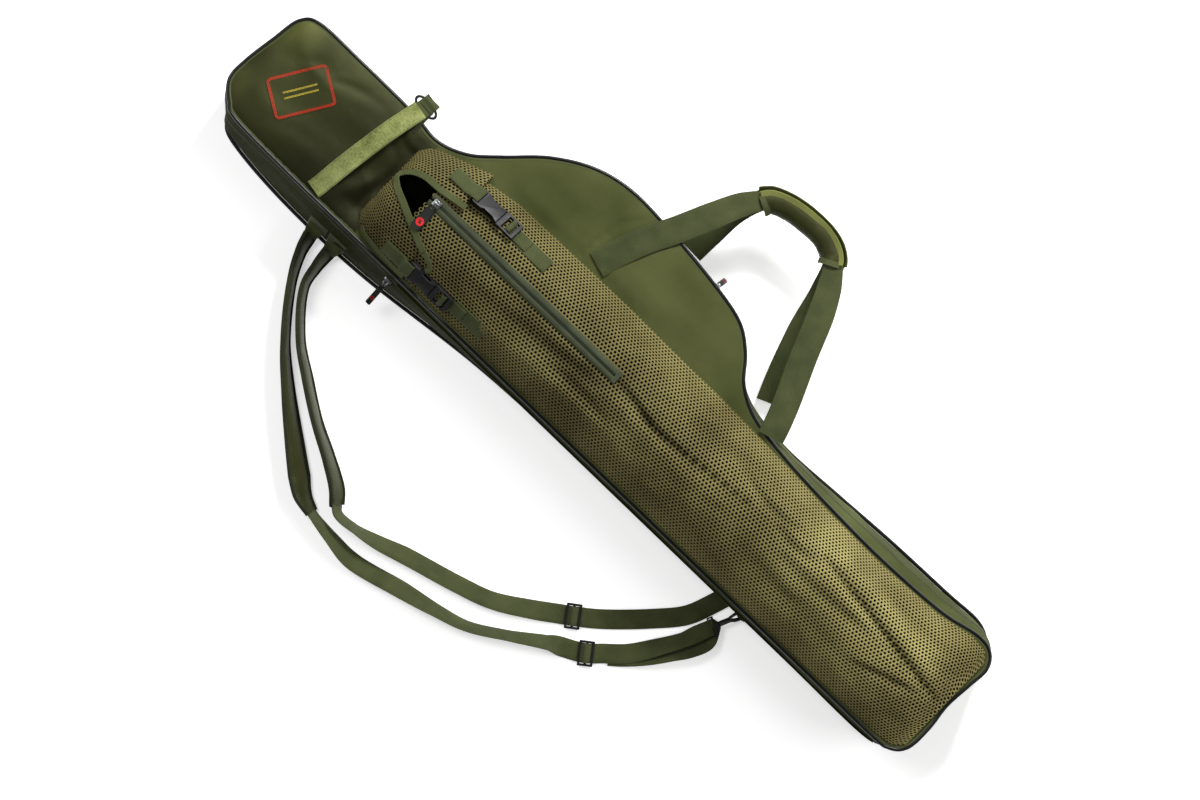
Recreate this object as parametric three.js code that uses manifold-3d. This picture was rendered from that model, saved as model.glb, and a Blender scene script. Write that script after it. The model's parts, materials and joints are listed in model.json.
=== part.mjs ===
// A soft rod case for made-up fishing rods, lying on its back panel.
//
// Millimetres. +Z is up. X runs along the case from the head end (x = 0 before the last shift) to
// the tail end, +Y is the side with the reel pouch, and the back panel lies on z = 0.
// The base is a tray: back panel, sloping gusset, lower zip tape. The lid is the front panel with its own
// short gusset and the upper zip tape. It opens like a book about the fabric hinge on the -Y side.
import * as THREE from "three";
import { mergeVertices } from "three/addons/utils/BufferGeometryUtils.js";
import Module from "manifold-3d";

const wasm = await Module();
wasm.setup();

// ---------- driving dimensions ----------
const CASE_MIDDLE = 650; // the back panel narrows a little towards this x
const PANEL = 5; // padded front and back panels
const WALL = 3; // gusset: two fabrics with thin foam between
const GAP = 0.3; // between neighbours that touch on the real case
const TAPE = 1.6; // zip tape with its sewn turn-in
const PIPING_R = 2.4;
const MESH = 2.5; // spacer mesh of the front pocket

const LEVEL = { gusset: PANEL + GAP, zipLow: 70, zipMid: 75, zipHigh: 80, panel: 104 };
LEVEL.front = LEVEL.panel + PANEL; // outer face of the front panel
const HINGE_WALL_Y = -108; // outer face of the gusset along the fabric hinge

const OUTLINE_STEPS = 72;

// ---------- materials ----------
const finish = (color, roughness, metalness = 0) =>
  new THREE.MeshStandardMaterial({ color, roughness, metalness });
const material = {
  canvas: finish(0x3c3f26, 0.75),
  lining: finish(0x23251b, 0.85),
  piping: finish(0x17191a, 0.4),
  mesh: finish(0x6b6138, 0.85),
  webbing: finish(0x3d4427, 0.8),
  velour: finish(0x5c6a2f, 0.95),
  tape: finish(0x383e30, 0.8),
  plastic: finish(0x101112, 0.35),
  metal: finish(0x4a4b4c, 0.35, 0.9),
};

const group = new THREE.Group();

function add(name, geometry, slot) {
  const mesh = new THREE.Mesh(geometry, material[slot]);
  mesh.name = name;
  group.add(mesh);
  return mesh;
}

// ---------- solids ----------
const lerp = (a, b, t) => a + (b - a) * t;
const radians = (degrees) => (degrees * Math.PI) / 180;
const vec = (x, y, z = 0) => new THREE.Vector3(x, y, z);

function manifoldOf(geometry) {
  const bare = geometry.index ? geometry.toNonIndexed() : geometry.clone();
  bare.deleteAttribute("normal");
  bare.deleteAttribute("uv");
  const merged = mergeVertices(bare, 1e-4);
  return new wasm.Manifold(
    new wasm.Mesh({
      numProp: 3,
      vertProperties: new Float32Array(merged.attributes.position.array),
      triVerts: new Uint32Array(merged.index.array),
    }),
  );
}

function geometryOf(manifold) {
  const mesh = manifold.getMesh();
  const geometry = new THREE.BufferGeometry();
  geometry.setAttribute("position", new THREE.BufferAttribute(mesh.vertProperties, 3));
  geometry.setIndex(new THREE.BufferAttribute(mesh.triVerts, 1));
  return geometry;
}

// The first solid, with the others of `join` added and those of `cut` taken away.
function combine(first, { join = [], cut = [] }) {
  let solid = manifoldOf(first);
  for (const other of join) solid = solid.add(manifoldOf(other));
  for (const other of cut) solid = solid.subtract(manifoldOf(other));
  return geometryOf(solid);
}

function box(sx, sy, sz, x = 0, y = 0, z = 0) {
  return new THREE.BoxGeometry(sx, sy, sz).translate(x, y, z);
}

function volumeOf(points, faces) {
  let sum = 0;
  for (const [a, b, c] of faces) sum += points[a].dot(points[b].clone().cross(points[c]));
  return sum / 6;
}

// Skins a row of cross-sections, each a ring of the same number of points. An open row gets end caps, made
// of the index triples in `cap`; a fan serves a convex ring.
function skin(sections, { closed = false, cap } = {}) {
  const n = sections[0].length;
  const fan = Array.from({ length: n - 2 }, (_, i) => [0, i + 1, i + 2]);
  const points = sections.flat();
  const faces = [];
  const rows = closed ? sections.length : sections.length - 1;
  for (let r = 0; r < rows; r++) {
    const here = r * n;
    const next = ((r + 1) % sections.length) * n;
    for (let i = 0; i < n; i++) {
      const j = (i + 1) % n;
      faces.push([here + i, here + j, next + j], [here + i, next + j, next + i]);
    }
  }
  if (!closed) {
    const last = (sections.length - 1) * n;
    for (const [a, b, c] of cap ?? fan) faces.push([a, c, b], [last + a, last + b, last + c]);
  }
  if (volumeOf(points, faces) < 0) faces.forEach((f) => f.reverse());
  const geometry = new THREE.BufferGeometry();
  geometry.setAttribute(
    "position",
    new THREE.Float32BufferAttribute(points.flatMap((p) => [p.x, p.y, p.z]), 3),
  );
  geometry.setIndex(faces.flat());
  return geometry;
}

// Interpolates a table of [x, value] rows smoothly.
function table(rows) {
  return (x) => {
    if (x <= rows[0][0]) return rows[0][1];
    for (let i = 1; i < rows.length; i++) {
      const [x0, v0] = rows[i - 1];
      const [x1, v1] = rows[i];
      if (x <= x1) return lerp(v0, v1, THREE.MathUtils.smoothstep(x, x0, x1));
    }
    return rows.at(-1)[1];
  };
}

// ---------- outlines of the case ----------
// The front panel's edge, from the head's -Y corner round by the tail and the pouch.
const FRONT_EDGE = [
  [12, -84], [38, -95], [150, -98], [300, -98], [500, -98], [700, -98], [900, -98], [1100, -98],
  [1250, -98], [1284, -94], [1301, -76], [1303, -38], [1299, 0], [1302, 42], [1304, 74], [1290, 93],
  [1262, 96], [1205, 85], [1100, 80], [1000, 82], [905, 88], [835, 99], [792, 122], [762, 156],
  [725, 181], [660, 194], [580, 203], [500, 207], [440, 194], [385, 162], [338, 118], [300, 86],
  [255, 70], [200, 75], [100, 76], [30, 75], [6, 60], [-2, 18], [-9, -30], [-8, -62],
];
// How far the back panel is shifted sideways under the front one, because the soft case lies twisted.
const BACK_SHIFT = table([
  [0, -14], [70, -35], [280, -33], [500, -12], [700, -3], [900, 12], [1080, 29], [1220, 26], [1310, 6],
]);
const HINGE_SIDE = [1, 8]; // indices of FRONT_EDGE between which the -Y side is straight

const ZIP_EDGE = FRONT_EDGE.map(([x, y], i) => {
  if (i >= HINGE_SIDE[0] && i <= HINGE_SIDE[1]) return [x, HINGE_WALL_Y];
  return [x, y + 0.5 * BACK_SHIFT(x) + 4 * Math.sign(y)];
});
const BACK_EDGE = FRONT_EDGE.map(([x, y]) => [lerp(x, CASE_MIDDLE, 0.006), y + BACK_SHIFT(x)]);

// A closed edge sampled evenly by control point, so that all three edges match point by point.
function sampled(edge) {
  const curve = new THREE.CatmullRomCurve3(edge.map(([x, y]) => vec(x, y)), true, "catmullrom", 0.5);
  return Array.from({ length: OUTLINE_STEPS }, (_, i) => curve.getPoint(i / OUTLINE_STEPS));
}

// The closed line moved outwards by d (inwards where d is negative).
function offset(line, d) {
  return line.map((p, i) => {
    const before = line[(i + line.length - 1) % line.length];
    const after = line[(i + 1) % line.length];
    const along = after.clone().sub(before).normalize();
    return vec(p.x + along.y * d, p.y - along.x * d);
  });
}

const front = sampled(FRONT_EDGE);
const zip = sampled(ZIP_EDGE);
const back = sampled(BACK_EDGE);
const edgeAt = (low, high, t) => low.map((p, i) => p.clone().lerp(high[i], t));
const place = (p, z) => vec(p.x, p.y, z);

function slab(line, low, thickness) {
  const shape = new THREE.Shape(line.map((p) => new THREE.Vector2(p.x, p.y)));
  return new THREE.ExtrudeGeometry(shape, { depth: thickness, bevelEnabled: false }).translate(0, 0, low);
}

// A wall between two edges, of the given thickness, whose outer face runs through both edges.
function wall(lowEdge, highEdge, low, high, thickness, { range = null } = {}) {
  const [lowIn, highIn] = [offset(lowEdge, -thickness), offset(highEdge, -thickness)];
  const count = lowEdge.length;
  const [from, to] = range ?? [0, count - 1];
  const sections = [];
  for (let i = from; i <= to; i++) {
    const k = (i + count) % count;
    sections.push([place(lowEdge[k], low), place(highEdge[k], high), place(highIn[k], high), place(lowIn[k], low)]);
  }
  return skin(sections, { closed: !range });
}

function cordAlong(line, level, radius, sides = 4) {
  const sections = line.map((p, i) => {
    const before = line[(i + line.length - 1) % line.length];
    const after = line[(i + 1) % line.length];
    const along = after.clone().sub(before).normalize();
    const out = vec(along.y, -along.x);
    return Array.from({ length: sides }, (_, k) => {
      const turn = (2 * Math.PI * (k + 0.5)) / sides;
      return vec(
        p.x + out.x * radius * Math.cos(turn),
        p.y + out.y * radius * Math.cos(turn),
        level + radius * Math.sin(turn),
      );
    });
  });
  return skin(sections, { closed: true });
}

// ---------- base ----------
const lowGusset = edgeAt(back, zip, 0.04);
const highGusset = edgeAt(back, zip, LEVEL.zipLow / LEVEL.zipMid);
add("back_panel", slab(back, 0, PANEL), "canvas");
add("base_gusset", wall(lowGusset, highGusset, LEVEL.gusset, LEVEL.zipLow - GAP, WALL), "canvas");
add("back_piping", cordAlong(offset(back, PIPING_R + GAP), PIPING_R, PIPING_R), "piping");
add("base_padding", slab(offset(back, -12), PANEL + GAP, 6), "lining");

// The zip runs from its lower end on the -Y side round the head, the pouch and the tail. The rest of the
// -Y side is the fabric hinge. Both are stretches of the sampled edge, counted in samples.
const samplesPerPoint = OUTLINE_STEPS / FRONT_EDGE.length;
const HINGE_FROM = Math.round(3.3 * samplesPerPoint);
const HINGE_TO = Math.round(8.2 * samplesPerPoint);
const hingeRange = [HINGE_FROM, HINGE_TO];
const zipRange = [HINGE_TO + 1, HINGE_FROM - 1 + OUTLINE_STEPS];
add("zip_tape_base", wall(zip, zip, LEVEL.zipLow, LEVEL.zipMid - GAP / 2, TAPE, { range: zipRange }), "tape");
add("zip_tape_lid", wall(zip, zip, LEVEL.zipMid + GAP / 2, LEVEL.zipHigh - GAP, TAPE, { range: zipRange }), "tape");
add("hinge_fabric", wall(zip, zip, LEVEL.zipLow, LEVEL.zipHigh - 2 * GAP, TAPE, { range: hingeRange }), "canvas");

// ---------- lid ----------
add("lid_gusset", wall(zip, front, LEVEL.zipHigh, LEVEL.panel - GAP, WALL), "canvas");
add("front_panel", slab(front, LEVEL.panel, PANEL), "canvas");
add("front_piping", cordAlong(offset(front, PIPING_R + GAP), LEVEL.panel + PIPING_R, PIPING_R), "piping");


// ---------- padded straps and webbing ----------
const UP = vec(0, 0, 1);

// A flat strip along a smooth path. Each row gives a point, the strip's width there and its roll: 0 lies
// flat, 90 stands on edge.
function strip(rows, thickness, steps) {
  const curve = new THREE.CatmullRomCurve3(rows.map(([x, y, z]) => vec(x, y, z)));
  const sections = [];
  for (let i = 0; i <= steps; i++) {
    const t = (i / steps) * (rows.length - 1);
    const k = Math.min(Math.floor(t), rows.length - 2);
    const width = lerp(rows[k][3], rows[k + 1][3], t - k);
    const roll = radians(lerp(rows[k][4], rows[k + 1][4], t - k));
    const here = curve.getPoint(i / steps);
    const along = curve.getTangent(i / steps);
    const level = along.clone().cross(UP).normalize();
    const over = level.clone().cross(along).normalize();
    const wide = level.clone().multiplyScalar(Math.cos(roll)).addScaledVector(over, Math.sin(roll));
    const thick = wide.clone().cross(along).normalize();
    const corner = (a, b) =>
      here.clone().addScaledVector(wide, (a * width) / 2).addScaledVector(thick, (b * thickness) / 2);
    sections.push([corner(-1, -1), corner(1, -1), corner(1, 1), corner(-1, 1)]);
  }
  return skin(sections);
}

// The same for a strip that lies on the ground: rows are [x, y, width, roll, lift].
const CLEAR = 1.4; // a twisting strip's edges dip a little between rows
const ground = (rows, thickness, steps) =>
  strip(
    rows.map(([x, y, width, roll, lift = 0]) => {
      const half = (width * Math.sin(radians(roll)) + thickness * Math.cos(radians(roll))) / 2;
      return [x, y, half + CLEAR + lift, width, roll];
    }),
    thickness,
    steps,
  );

const WEBBING = 1.8; // thickness
const PAD = 7;
add(
  "shoulder_pad_inner",
  ground(
    [
      [249, -140, 30, 20, 12], [251, -168, 34, 60, 2], [258, -200, 38, 80], [304, -256, 38, 80],
      [352, -291, 38, 75], [400, -323, 38, 75], [450, -350, 38, 70], [487, -373, 34, 60], [503, -390, 26, 50],
    ],
    PAD,
    24,
  ),
  "canvas",
);
add(
  "shoulder_pad_outer",
  ground(
    [
      [213, -140, 30, 20, 12], [221, -170, 34, 60, 2], [240, -207, 38, 80], [292, -274, 38, 80],
      [343, -321, 38, 70], [398, -366, 38, 55], [436, -396, 38, 45], [458, -412, 34, 50], [484, -421, 26, 60],
    ],
    PAD,
    24,
  ),
  "canvas",
);
const GLIDE_INNER = [848, -272, 36]; // x, y and heading of the adjuster, in degrees
const GLIDE_OUTER = [897, -297, 37];
add(
  "shoulder_webbing_inner",
  ground(
    [
      [512, -397, 26, 62], [545, -395, 28, 65], [580, -387, 28, 45], [620, -374, 28, 30], [700, -352, 28, 30],
      [750, -335, 28, 30], [800, -305, 28, 15], [832, -283, 28, 0], [848, -272, 28, 0], [880, -247, 28, 0], [930, -198, 28, 0],
      [962, -160, 28, 0], [978, -120, 28, 0], [985, -98, 28, 0],
    ],
    WEBBING,
    36,
  ),
  "webbing",
);
add(
  "shoulder_webbing_outer",
  ground(
    [
      [493, -423, 26, 62], [530, -428, 28, 50], [570, -431, 28, 30], [650, -412, 28, 30], [700, -400, 28, 50],
      [750, -385, 28, 60], [800, -355, 28, 60], [848, -323, 28, 45], [868, -313, 28, 0], [882, -306, 28, 0], [897, -297, 28, 0],
      [914, -281, 28, 0], [940, -256, 28, 10], [966, -216, 28, 35], [982, -188, 26, 40], [991, -166, 24, 30],
    ],
    WEBBING,
    36,
  ),
  "webbing",
);

// Where the outer face of the base gusset is on the -Y side, at a place along the case and a height.
const gussetSide = (x, z) => lerp(-98 + BACK_SHIFT(x), HINGE_WALL_Y, z / LEVEL.zipMid);
function anchorPatch(x) {
  const [lowZ, highZ] = [10, 46];
  const rows = [lowZ, highZ].map((z) => gussetSide(x, z) - 4);
  return strip([[x, rows[0], lowZ, 32, 0], [x, rows[1], highZ, 32, 0]], WEBBING, 2);
}
add("anchor_patch_inner", anchorPatch(249), "webbing");
add("anchor_patch_outer", anchorPatch(213), "webbing");

// ---------- adjusters, D-ring and snap hook ----------
const BAR = 3.2;
function triGlide(width) {
  const frame = box(22, width + 8, BAR);
  const window = 6;
  const slots = [-1, 1].map((side) => box(window, width + 1.5, BAR * 2, side * (window / 2 + 1.6)));
  return combine(frame, { cut: slots });
}
function placed(mesh, [x, y, z], turn = 0) {
  mesh.position.set(x, y, z);
  mesh.rotation.z = radians(turn);
  return mesh;
}
const GLIDE_LEVEL = CLEAR + WEBBING + BAR / 2 + 3 * GAP;
for (const [name, [x, y, heading]] of [["tri_glide_inner", GLIDE_INNER], ["tri_glide_outer", GLIDE_OUTER]]) {
  placed(add(name, triGlide(28), "plastic"), [x, y, GLIDE_LEVEL], heading);
}

const RING_AT = vec(1018, -97, 12); // middle of the D-ring's straight bar
function dRing() {
  const half = 14;
  const drop = (radius, straight, depth) => {
    const shape = new THREE.Shape();
    shape.moveTo(-radius, straight);
    shape.absarc(0, 0, radius, Math.PI, 2 * Math.PI, false);
    shape.lineTo(radius, straight);
    return new THREE.ExtrudeGeometry(shape, { depth, bevelEnabled: false, curveSegments: 8 })
      .translate(0, 0, -depth / 2);
  };
  return combine(drop(half + 2.5, 3.5, BAR), { cut: [drop(half - 0.5, 0.5, BAR * 2)] });
}
placed(add("d_ring", dRing(), "plastic"), RING_AT.toArray());
// The ring's tab: webbing from the gusset, round the straight bar and back.
const tabShape = new THREE.Shape();
[[10, 6], [10, 9], [-2.4, 4.2], [-2.4, -4.2], [10, -4.2], [10, -2.4], [-0.6, -2.4], [-0.6, 2.4], [5, 4.4]]
  .forEach(([y, z], i) => (i ? tabShape.lineTo(y, z) : tabShape.moveTo(y, z)));
add(
  "d_ring_tab",
  new THREE.ExtrudeGeometry(tabShape, { depth: 22, bevelEnabled: false })
    .rotateX(Math.PI / 2)
    .rotateZ(Math.PI / 2)
    .translate(RING_AT.x - 11, RING_AT.y, RING_AT.z),
  "webbing",
);


// The snap hook: a J-shaped hook through the ring, a gate across its mouth, and a swivel eye for the strap.
const HOOK = 4.4; // thickness
const HOOK_AT = vec(1012.3, -115.8, RING_AT.z);
const HOOK_TURN = -24;
const HOOK_LEAN = 52; // about its own length, from lying flat
function hookBody() {
  const shape = new THREE.Shape();
  [[-4, -24], [4, -24], [4, -8], [7.5, -3], [9, 4], [7, 10.5], [1, 13.5], [-6, 12], [-9.5, 6.5], [-9, 4],
    [-5.6, 4], [-4.6, 7.4], [0.5, 9.6], [4.4, 7.4], [5, 3], [3.5, -1.5], [0.5, -5.5], [-3.4, -8.4], [-4, -11]]
    .forEach(([x, y], i) => (i ? shape.lineTo(x, y) : shape.moveTo(x, y)));
  return new THREE.ExtrudeGeometry(shape, { depth: HOOK, bevelEnabled: false }).translate(0, 0, -HOOK / 2);
}
function hookGate() {
  const shape = new THREE.Shape();
  [[-4.6, -9], [-3, -7.6], [-6, 3.2], [-9, 2.2], [-8.6, 0]]
    .forEach(([x, y], i) => (i ? shape.lineTo(x, y) : shape.moveTo(x, y)));
  return new THREE.ExtrudeGeometry(shape, { depth: HOOK - 1, bevelEnabled: false })
    .translate(-0.6, 0, -(HOOK - 1) / 2);
}
function hookEye() {
  const outer = box(28, 9, 4, 0, -33.5, 0);
  const stem = new THREE.CylinderGeometry(4.6, 4.6, 4, 12).translate(0, -27, 0);
  return combine(outer, { join: [stem], cut: [box(24, 4, 6, 0, -34.2, 0)] });
}
const hookFrame = new THREE.Group();
hookFrame.position.copy(HOOK_AT);
hookFrame.rotation.z = radians(HOOK_TURN);
group.add(hookFrame);
const leaning = new THREE.Group();
leaning.rotation.y = radians(HOOK_LEAN);
hookFrame.add(leaning);
leaning.add(add("snap_hook", hookBody(), "plastic"));
leaning.add(add("snap_hook_gate", hookGate(), "plastic"));
hookFrame.add(add("snap_hook_eye", hookEye(), "plastic"));

// ---------- inside the base ----------
for (const [i, x] of [235, 980].entries()) {
  const low = PANEL + GAP + 6 + GAP;
  const middle = back.reduce((sum, p) => (Math.abs(p.x - x) < 60 ? sum + p.y : sum), 0);
  const near = back.filter((p) => Math.abs(p.x - x) < 60).length;
  const y = near ? middle / near : 0;
  add(
    `inner_rod_strap_${i + 1}`,
    strip(
      [
        [x, y - 55, low + 1, 25, 0], [x, y - 40, low + 3, 25, 0], [x, y - 15, low + 16, 25, 0],
        [x, y + 15, low + 16, 25, 0], [x, y + 40, low + 3, 25, 0], [x, y + 55, low + 1, 25, 0],
      ],
      WEBBING,
      12,
    ),
    "webbing",
  );
}

// ---------- the front pocket ----------
// Straight-line interpolation, so that the zip on the pocket's crown runs straight.
const ramp = (rows) => (x) => {
  if (x <= rows[0][0]) return rows[0][1];
  for (let i = 1; i < rows.length; i++) {
    const [x0, v0] = rows[i - 1];
    const [x1, v1] = rows[i];
    if (x <= x1) return lerp(v0, v1, (x - x0) / (x1 - x0));
  }
  return rows.at(-1)[1];
};
const DOME_POWER = 2.4;
const POCKET_BASE = LEVEL.front + GAP;
const pocket = {
  rise: ramp([[300, 42], [670, 57], [950, 55], [1150, 45], [1240, 32], [1280, 15], [1294, 4]]),
  low: ramp([[300, -92], [380, -95], [1240, -95], [1280, -91], [1294, -84]]),
  high: ramp([[300, 72], [350, 82], [400, 90], [600, 93], [800, 88], [1000, 77], [1200, 78], [1255, 88], [1294, 84]]),
};
const hood = {
  rise: ramp([[246, 4], [256, 22], [272, 36], [300, 46], [350, 48.5]]),
  low: ramp([[246, -68], [256, -84], [272, -94], [300, -97], [350, -99]]),
  high: ramp([[246, 46], [256, 60], [272, 69], [300, 79], [350, 96]]),
};
function surface(dome, x, y) {
  const middle = (dome.low(x) + dome.high(x)) / 2;
  const half = (dome.high(x) - dome.low(x)) / 2;
  const across = Math.min(Math.abs((y - middle) / half), 1);
  return POCKET_BASE + dome.rise(x) * (1 - across ** DOME_POWER);
}
function domeShell(dome, stations, { arc = 10 } = {}) {
  const ring = (x) => {
    const [low, high] = [dome.low(x), dome.high(x)];
    const [middle, half] = [(low + high) / 2, (high - low) / 2];
    const at = (s, inset, drop) => {
      const rise = Math.max(dome.rise(x) - drop, 0.8);
      return vec(x, middle + s * (half - inset), POCKET_BASE + rise * (1 - Math.abs(s) ** DOME_POWER));
    };
    const spread = Array.from({ length: arc + 1 }, (_, i) => Math.sin(((i / arc) * 2 - 1) * (Math.PI / 2)));
    const outer = spread.map((s) => at(s, 0, 0));
    const inner = spread.map((s) => at(s, MESH, MESH)).reverse();
    return [...outer, ...inner];
  };
  const count = 2 * (arc + 1);
  const cap = [];
  for (let i = 0; i < arc; i++) {
    const [a, b, c, d] = [i, i + 1, count - 2 - i, count - 1 - i];
    cap.push([a, b, c], [a, c, d]);
  }
  return skin(stations.map(ring), { cap });
}
add(
  "mesh_pocket",
  domeShell(pocket, [304, 350, 400, 500, 600, 670, 740, 800, 880, 950, 1050, 1150, 1200, 1240, 1262, 1280, 1294]),
  "mesh",
);
const notch = new THREE.Shape();
[[262, -5], [300, -30], [336, -46], [360, -52], [360, 38], [338, 34], [300, 22], [270, 9]]
  .forEach(([x, y], i) => (i ? notch.lineTo(x, y) : notch.moveTo(x, y)));
const notchTool = new THREE.ExtrudeGeometry(notch, { depth: 80, bevelEnabled: false })
  .translate(0, 0, POCKET_BASE + 8);
add(
  "pocket_hood",
  combine(domeShell(hood, [246, 256, 264, 272, 285, 300, 325, 344]), { cut: [notchTool] }),
  "mesh",
);

const ZIP_Y = 10; // the pocket zip's line
const crown = (x) => surface(pocket, x, ZIP_Y);
add(
  "pocket_zip",
  strip([[306, ZIP_Y, crown(306) + 1.7, 24, 0], [480, ZIP_Y, crown(480) + 1.7, 24, 0],
    [662, ZIP_Y, crown(662) + 1.7, 24, 0]], 2, 6),
  "tape",
);


// ---------- side-release buckles ----------
// A buckle's own frame: x toward the tail, z out of the pocket, origin at the head end of the female half.
const BUCKLE = { width: 28, height: 10, mid: 6.4, female: 44, male: 76 };
function flat(points, depth, low) {
  const shape = new THREE.Shape();
  points.forEach(([x, y], i) => (i ? shape.lineTo(x, y) : shape.moveTo(x, y)));
  return new THREE.ExtrudeGeometry(shape, { depth, bevelEnabled: false }).translate(0, 0, low);
}
// A strip seen from its side: the outline lies in the x-z plane and the width runs along y.
const upright = (points, width) => flat(points, width, -width / 2).rotateX(Math.PI / 2);

function femaleHalf() {
  const { width, height, mid, female } = BUCKLE;
  const half = width / 2;
  const waist = half - 3.5;
  const plan = [[0, -half], [14, -half], [20, -waist], [36, -waist], [female, -half],
    [female, half], [36, waist], [20, waist], [14, half], [0, half]];
  const cavity = box(34, 18, height - 3.6, female - 16, 0, mid);
  const windows = box(14, width + 4, height - 4, 28, 0, mid);
  const loopSlot = box(4.6, width - 5, height + 4, 6, 0, mid);
  return combine(flat(plan, height, mid - height / 2), { cut: [cavity, windows, loopSlot] });
}
function maleHalf() {
  const { width, female, male, mid } = BUCKLE;
  const length = male - female - GAP;
  const base = box(length, width, 5.6, female + GAP + length / 2, 0, mid);
  const tongue = box(20, 4.4, 4, female - 8, 0, mid);
  const slots = [12, 23.4].map((x) => box(6.4, width - 6, 9, female + x, 0, mid));
  return combine(base, { join: [tongue], cut: slots });
}
// One sprung arm of the male half, from its root in the mouth to its barb in the window.
const prong = (side) =>
  flat(
    [[0, 0], [-19, 2], [-19.5, 3.6], [-14, 4.4], [-8, 3.2], [0, 2.4]].map(([x, y]) => [
      BUCKLE.female + x,
      side * (y + 3),
    ]),
    4,
    BUCKLE.mid - 2,
  );

function buckle(side, y) {
  const slopeX = (surface(pocket, 420, y) - surface(pocket, 360, y)) / 60;
  const slopeY = (surface(pocket, 390, y + 5) - surface(pocket, 390, y - 5)) / 10;
  const along = vec(1, 0, slopeX).normalize();
  const normal = vec(-slopeX, -slopeY, 1).normalize();
  const across = normal.clone().cross(along);
  const frame = new THREE.Group();
  frame.quaternion.setFromRotationMatrix(new THREE.Matrix4().makeBasis(along, across, normal));
  frame.position.set(350, y, surface(pocket, 350, y) + 1.6);
  group.add(frame);
  const pieces = {
    buckle_female: [femaleHalf(), "plastic"],
    buckle_male: [maleHalf(), "plastic"],
    buckle_prong_1: [prong(1), "plastic"],
    buckle_prong_2: [prong(-1), "plastic"],
    // from the hood, down through the female half's slot and under its bar
    buckle_tab: [
      upright([[-46, 7.4], [-12, 7.4], [-5, 11.8], [5, 11.8], [5, 4], [7, 4], [7, 13.6], [-6, 13.6],
        [-13, 9.2], [-46, 9.2]], 21),
      "webbing",
    ],
    // up through the male half's ladder and back over its own bar
    buckle_loop: [
      upright([[66, 1.4], [100, 1.4], [100, 3], [66.6, 3], [66.6, 9.6], [66, 9.6]], 20),
      "webbing",
    ],
    buckle_strip: [upright([[80, -1], [136, -1], [136, 0.8], [80, 0.8]], 22), "webbing"],
  };
  for (const [name, [geometry, slot]] of Object.entries(pieces)) frame.add(add(`${side}_${name}`, geometry, slot));
}
buckle("right", 54);
buckle("left", -75);

// ---------- zip sliders and pulls ----------
// A slider's own frame: x along the zip, z away from the tapes, origin on the tapes' outer face.
const SLIDER = { length: 12, width: 10, height: 4 };
function sliderBody() {
  const { length, width, height } = SLIDER;
  const shell = box(length, width, height, 0, 0, height / 2 + GAP);
  const bridge = box(8, 1.6, 5.2, 0, 0, height + GAP + 2.5);
  const eye = box(4.6, 6, 3.4, 0, 0, height + GAP + 2.3);
  return combine(shell, { join: [bridge], cut: [eye] });
}
// A pull: a thin link through the bridge, widening to a moulded tab. Its length runs along -y.
function pullTab(length, width) {
  const half = width / 2;
  const outline = [[-1.5, 0.2], [1.5, 0.2], [1.5, -8], [half, -13], [half, -length], [-half, -length],
    [-half, -13], [-1.5, -8]];
  return flat(outline, 1.2, -0.6);
}
function zipPull(name, at, { facing, along, hang, length, width }) {
  const frame = new THREE.Group();
  const across = facing.clone().cross(along).normalize();
  frame.quaternion.setFromRotationMatrix(new THREE.Matrix4().makeBasis(along, across, facing));
  frame.position.copy(at);
  group.add(frame);
  frame.add(add(`${name}_slider`, sliderBody(), "metal"));
  const pull = add(`${name}_pull`, pullTab(length, width), "plastic");
  pull.position.z = SLIDER.height + GAP + 1.6;
  pull.rotation.set(...hang);
  frame.add(pull);
  return frame;
}
const pocketSlope = vec(1, 0, (crown(650) - crown(320)) / 330).normalize();
zipPull("pocket", vec(318, ZIP_Y, crown(318) + 3), {
  facing: vec(-pocketSlope.z, 0, pocketSlope.x),
  along: pocketSlope,
  hang: [radians(5), 0, 0],
  length: 46,
  width: 15,
});
const SLIDER_LEVEL = 73.6;
zipPull("main", vec(338, HINGE_WALL_Y - 2.2, SLIDER_LEVEL), {
  facing: vec(0, -1, 0),
  along: vec(1, 0, 0),
  hang: [radians(-50), 0, 0],
  length: 52,
  width: 8,
});
const pouchRun = vec(1, -0.17, 0).normalize();
zipPull("pouch", vec(672, 195.4, SLIDER_LEVEL), {
  facing: vec(-pouchRun.y, pouchRun.x, 0),
  along: pouchRun.clone().negate(),
  hang: [radians(-20), 0, 0],
  length: 36,
  width: 8,
});

// ---------- rod strap on the head ----------
const STRAP_LEVEL = LEVEL.front + GAP + 1.5;
add(
  "rod_strap",
  strip(
    [
      [179, -93, STRAP_LEVEL, 27, 0], [181, -82, STRAP_LEVEL + 2, 27, 0], [186, -45, 125, 27, 0],
      [193, 0, 131, 27, 0], [200, 42, 128, 27, 0], [206, 72, 119, 27, 0], [209, 88, 113, 27, 0],
    ],
    3,
    16,
  ),
  "velour",
);
const ovalRing = (wide, deep, bar, thick) => {
  const oval = (w, d, depth) => {
    const shape = new THREE.Shape();
    shape.absellipse(0, 0, w / 2, d / 2, 0, 2 * Math.PI);
    return new THREE.ExtrudeGeometry(shape, { depth, bevelEnabled: false, curveSegments: 9 })
      .translate(0, 0, -depth / 2);
  };
  return combine(oval(wide, deep, thick), { cut: [oval(wide - 2 * bar, deep - 2 * bar, thick * 2)] });
};
const RING_LEVEL = 107;
placed(add("rod_strap_ring", ovalRing(42, 21, 4, 4), "plastic"), [212, 96, RING_LEVEL], -6);
add(
  "rod_strap_tab",
  strip([[213, 58, LEVEL.front + 1.3, 25, 0], [213, 78, LEVEL.front + 1.3, 25, 0],
    [213, 84.5, RING_LEVEL + 1, 25, 0]], WEBBING, 6),
  "webbing",
);

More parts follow.
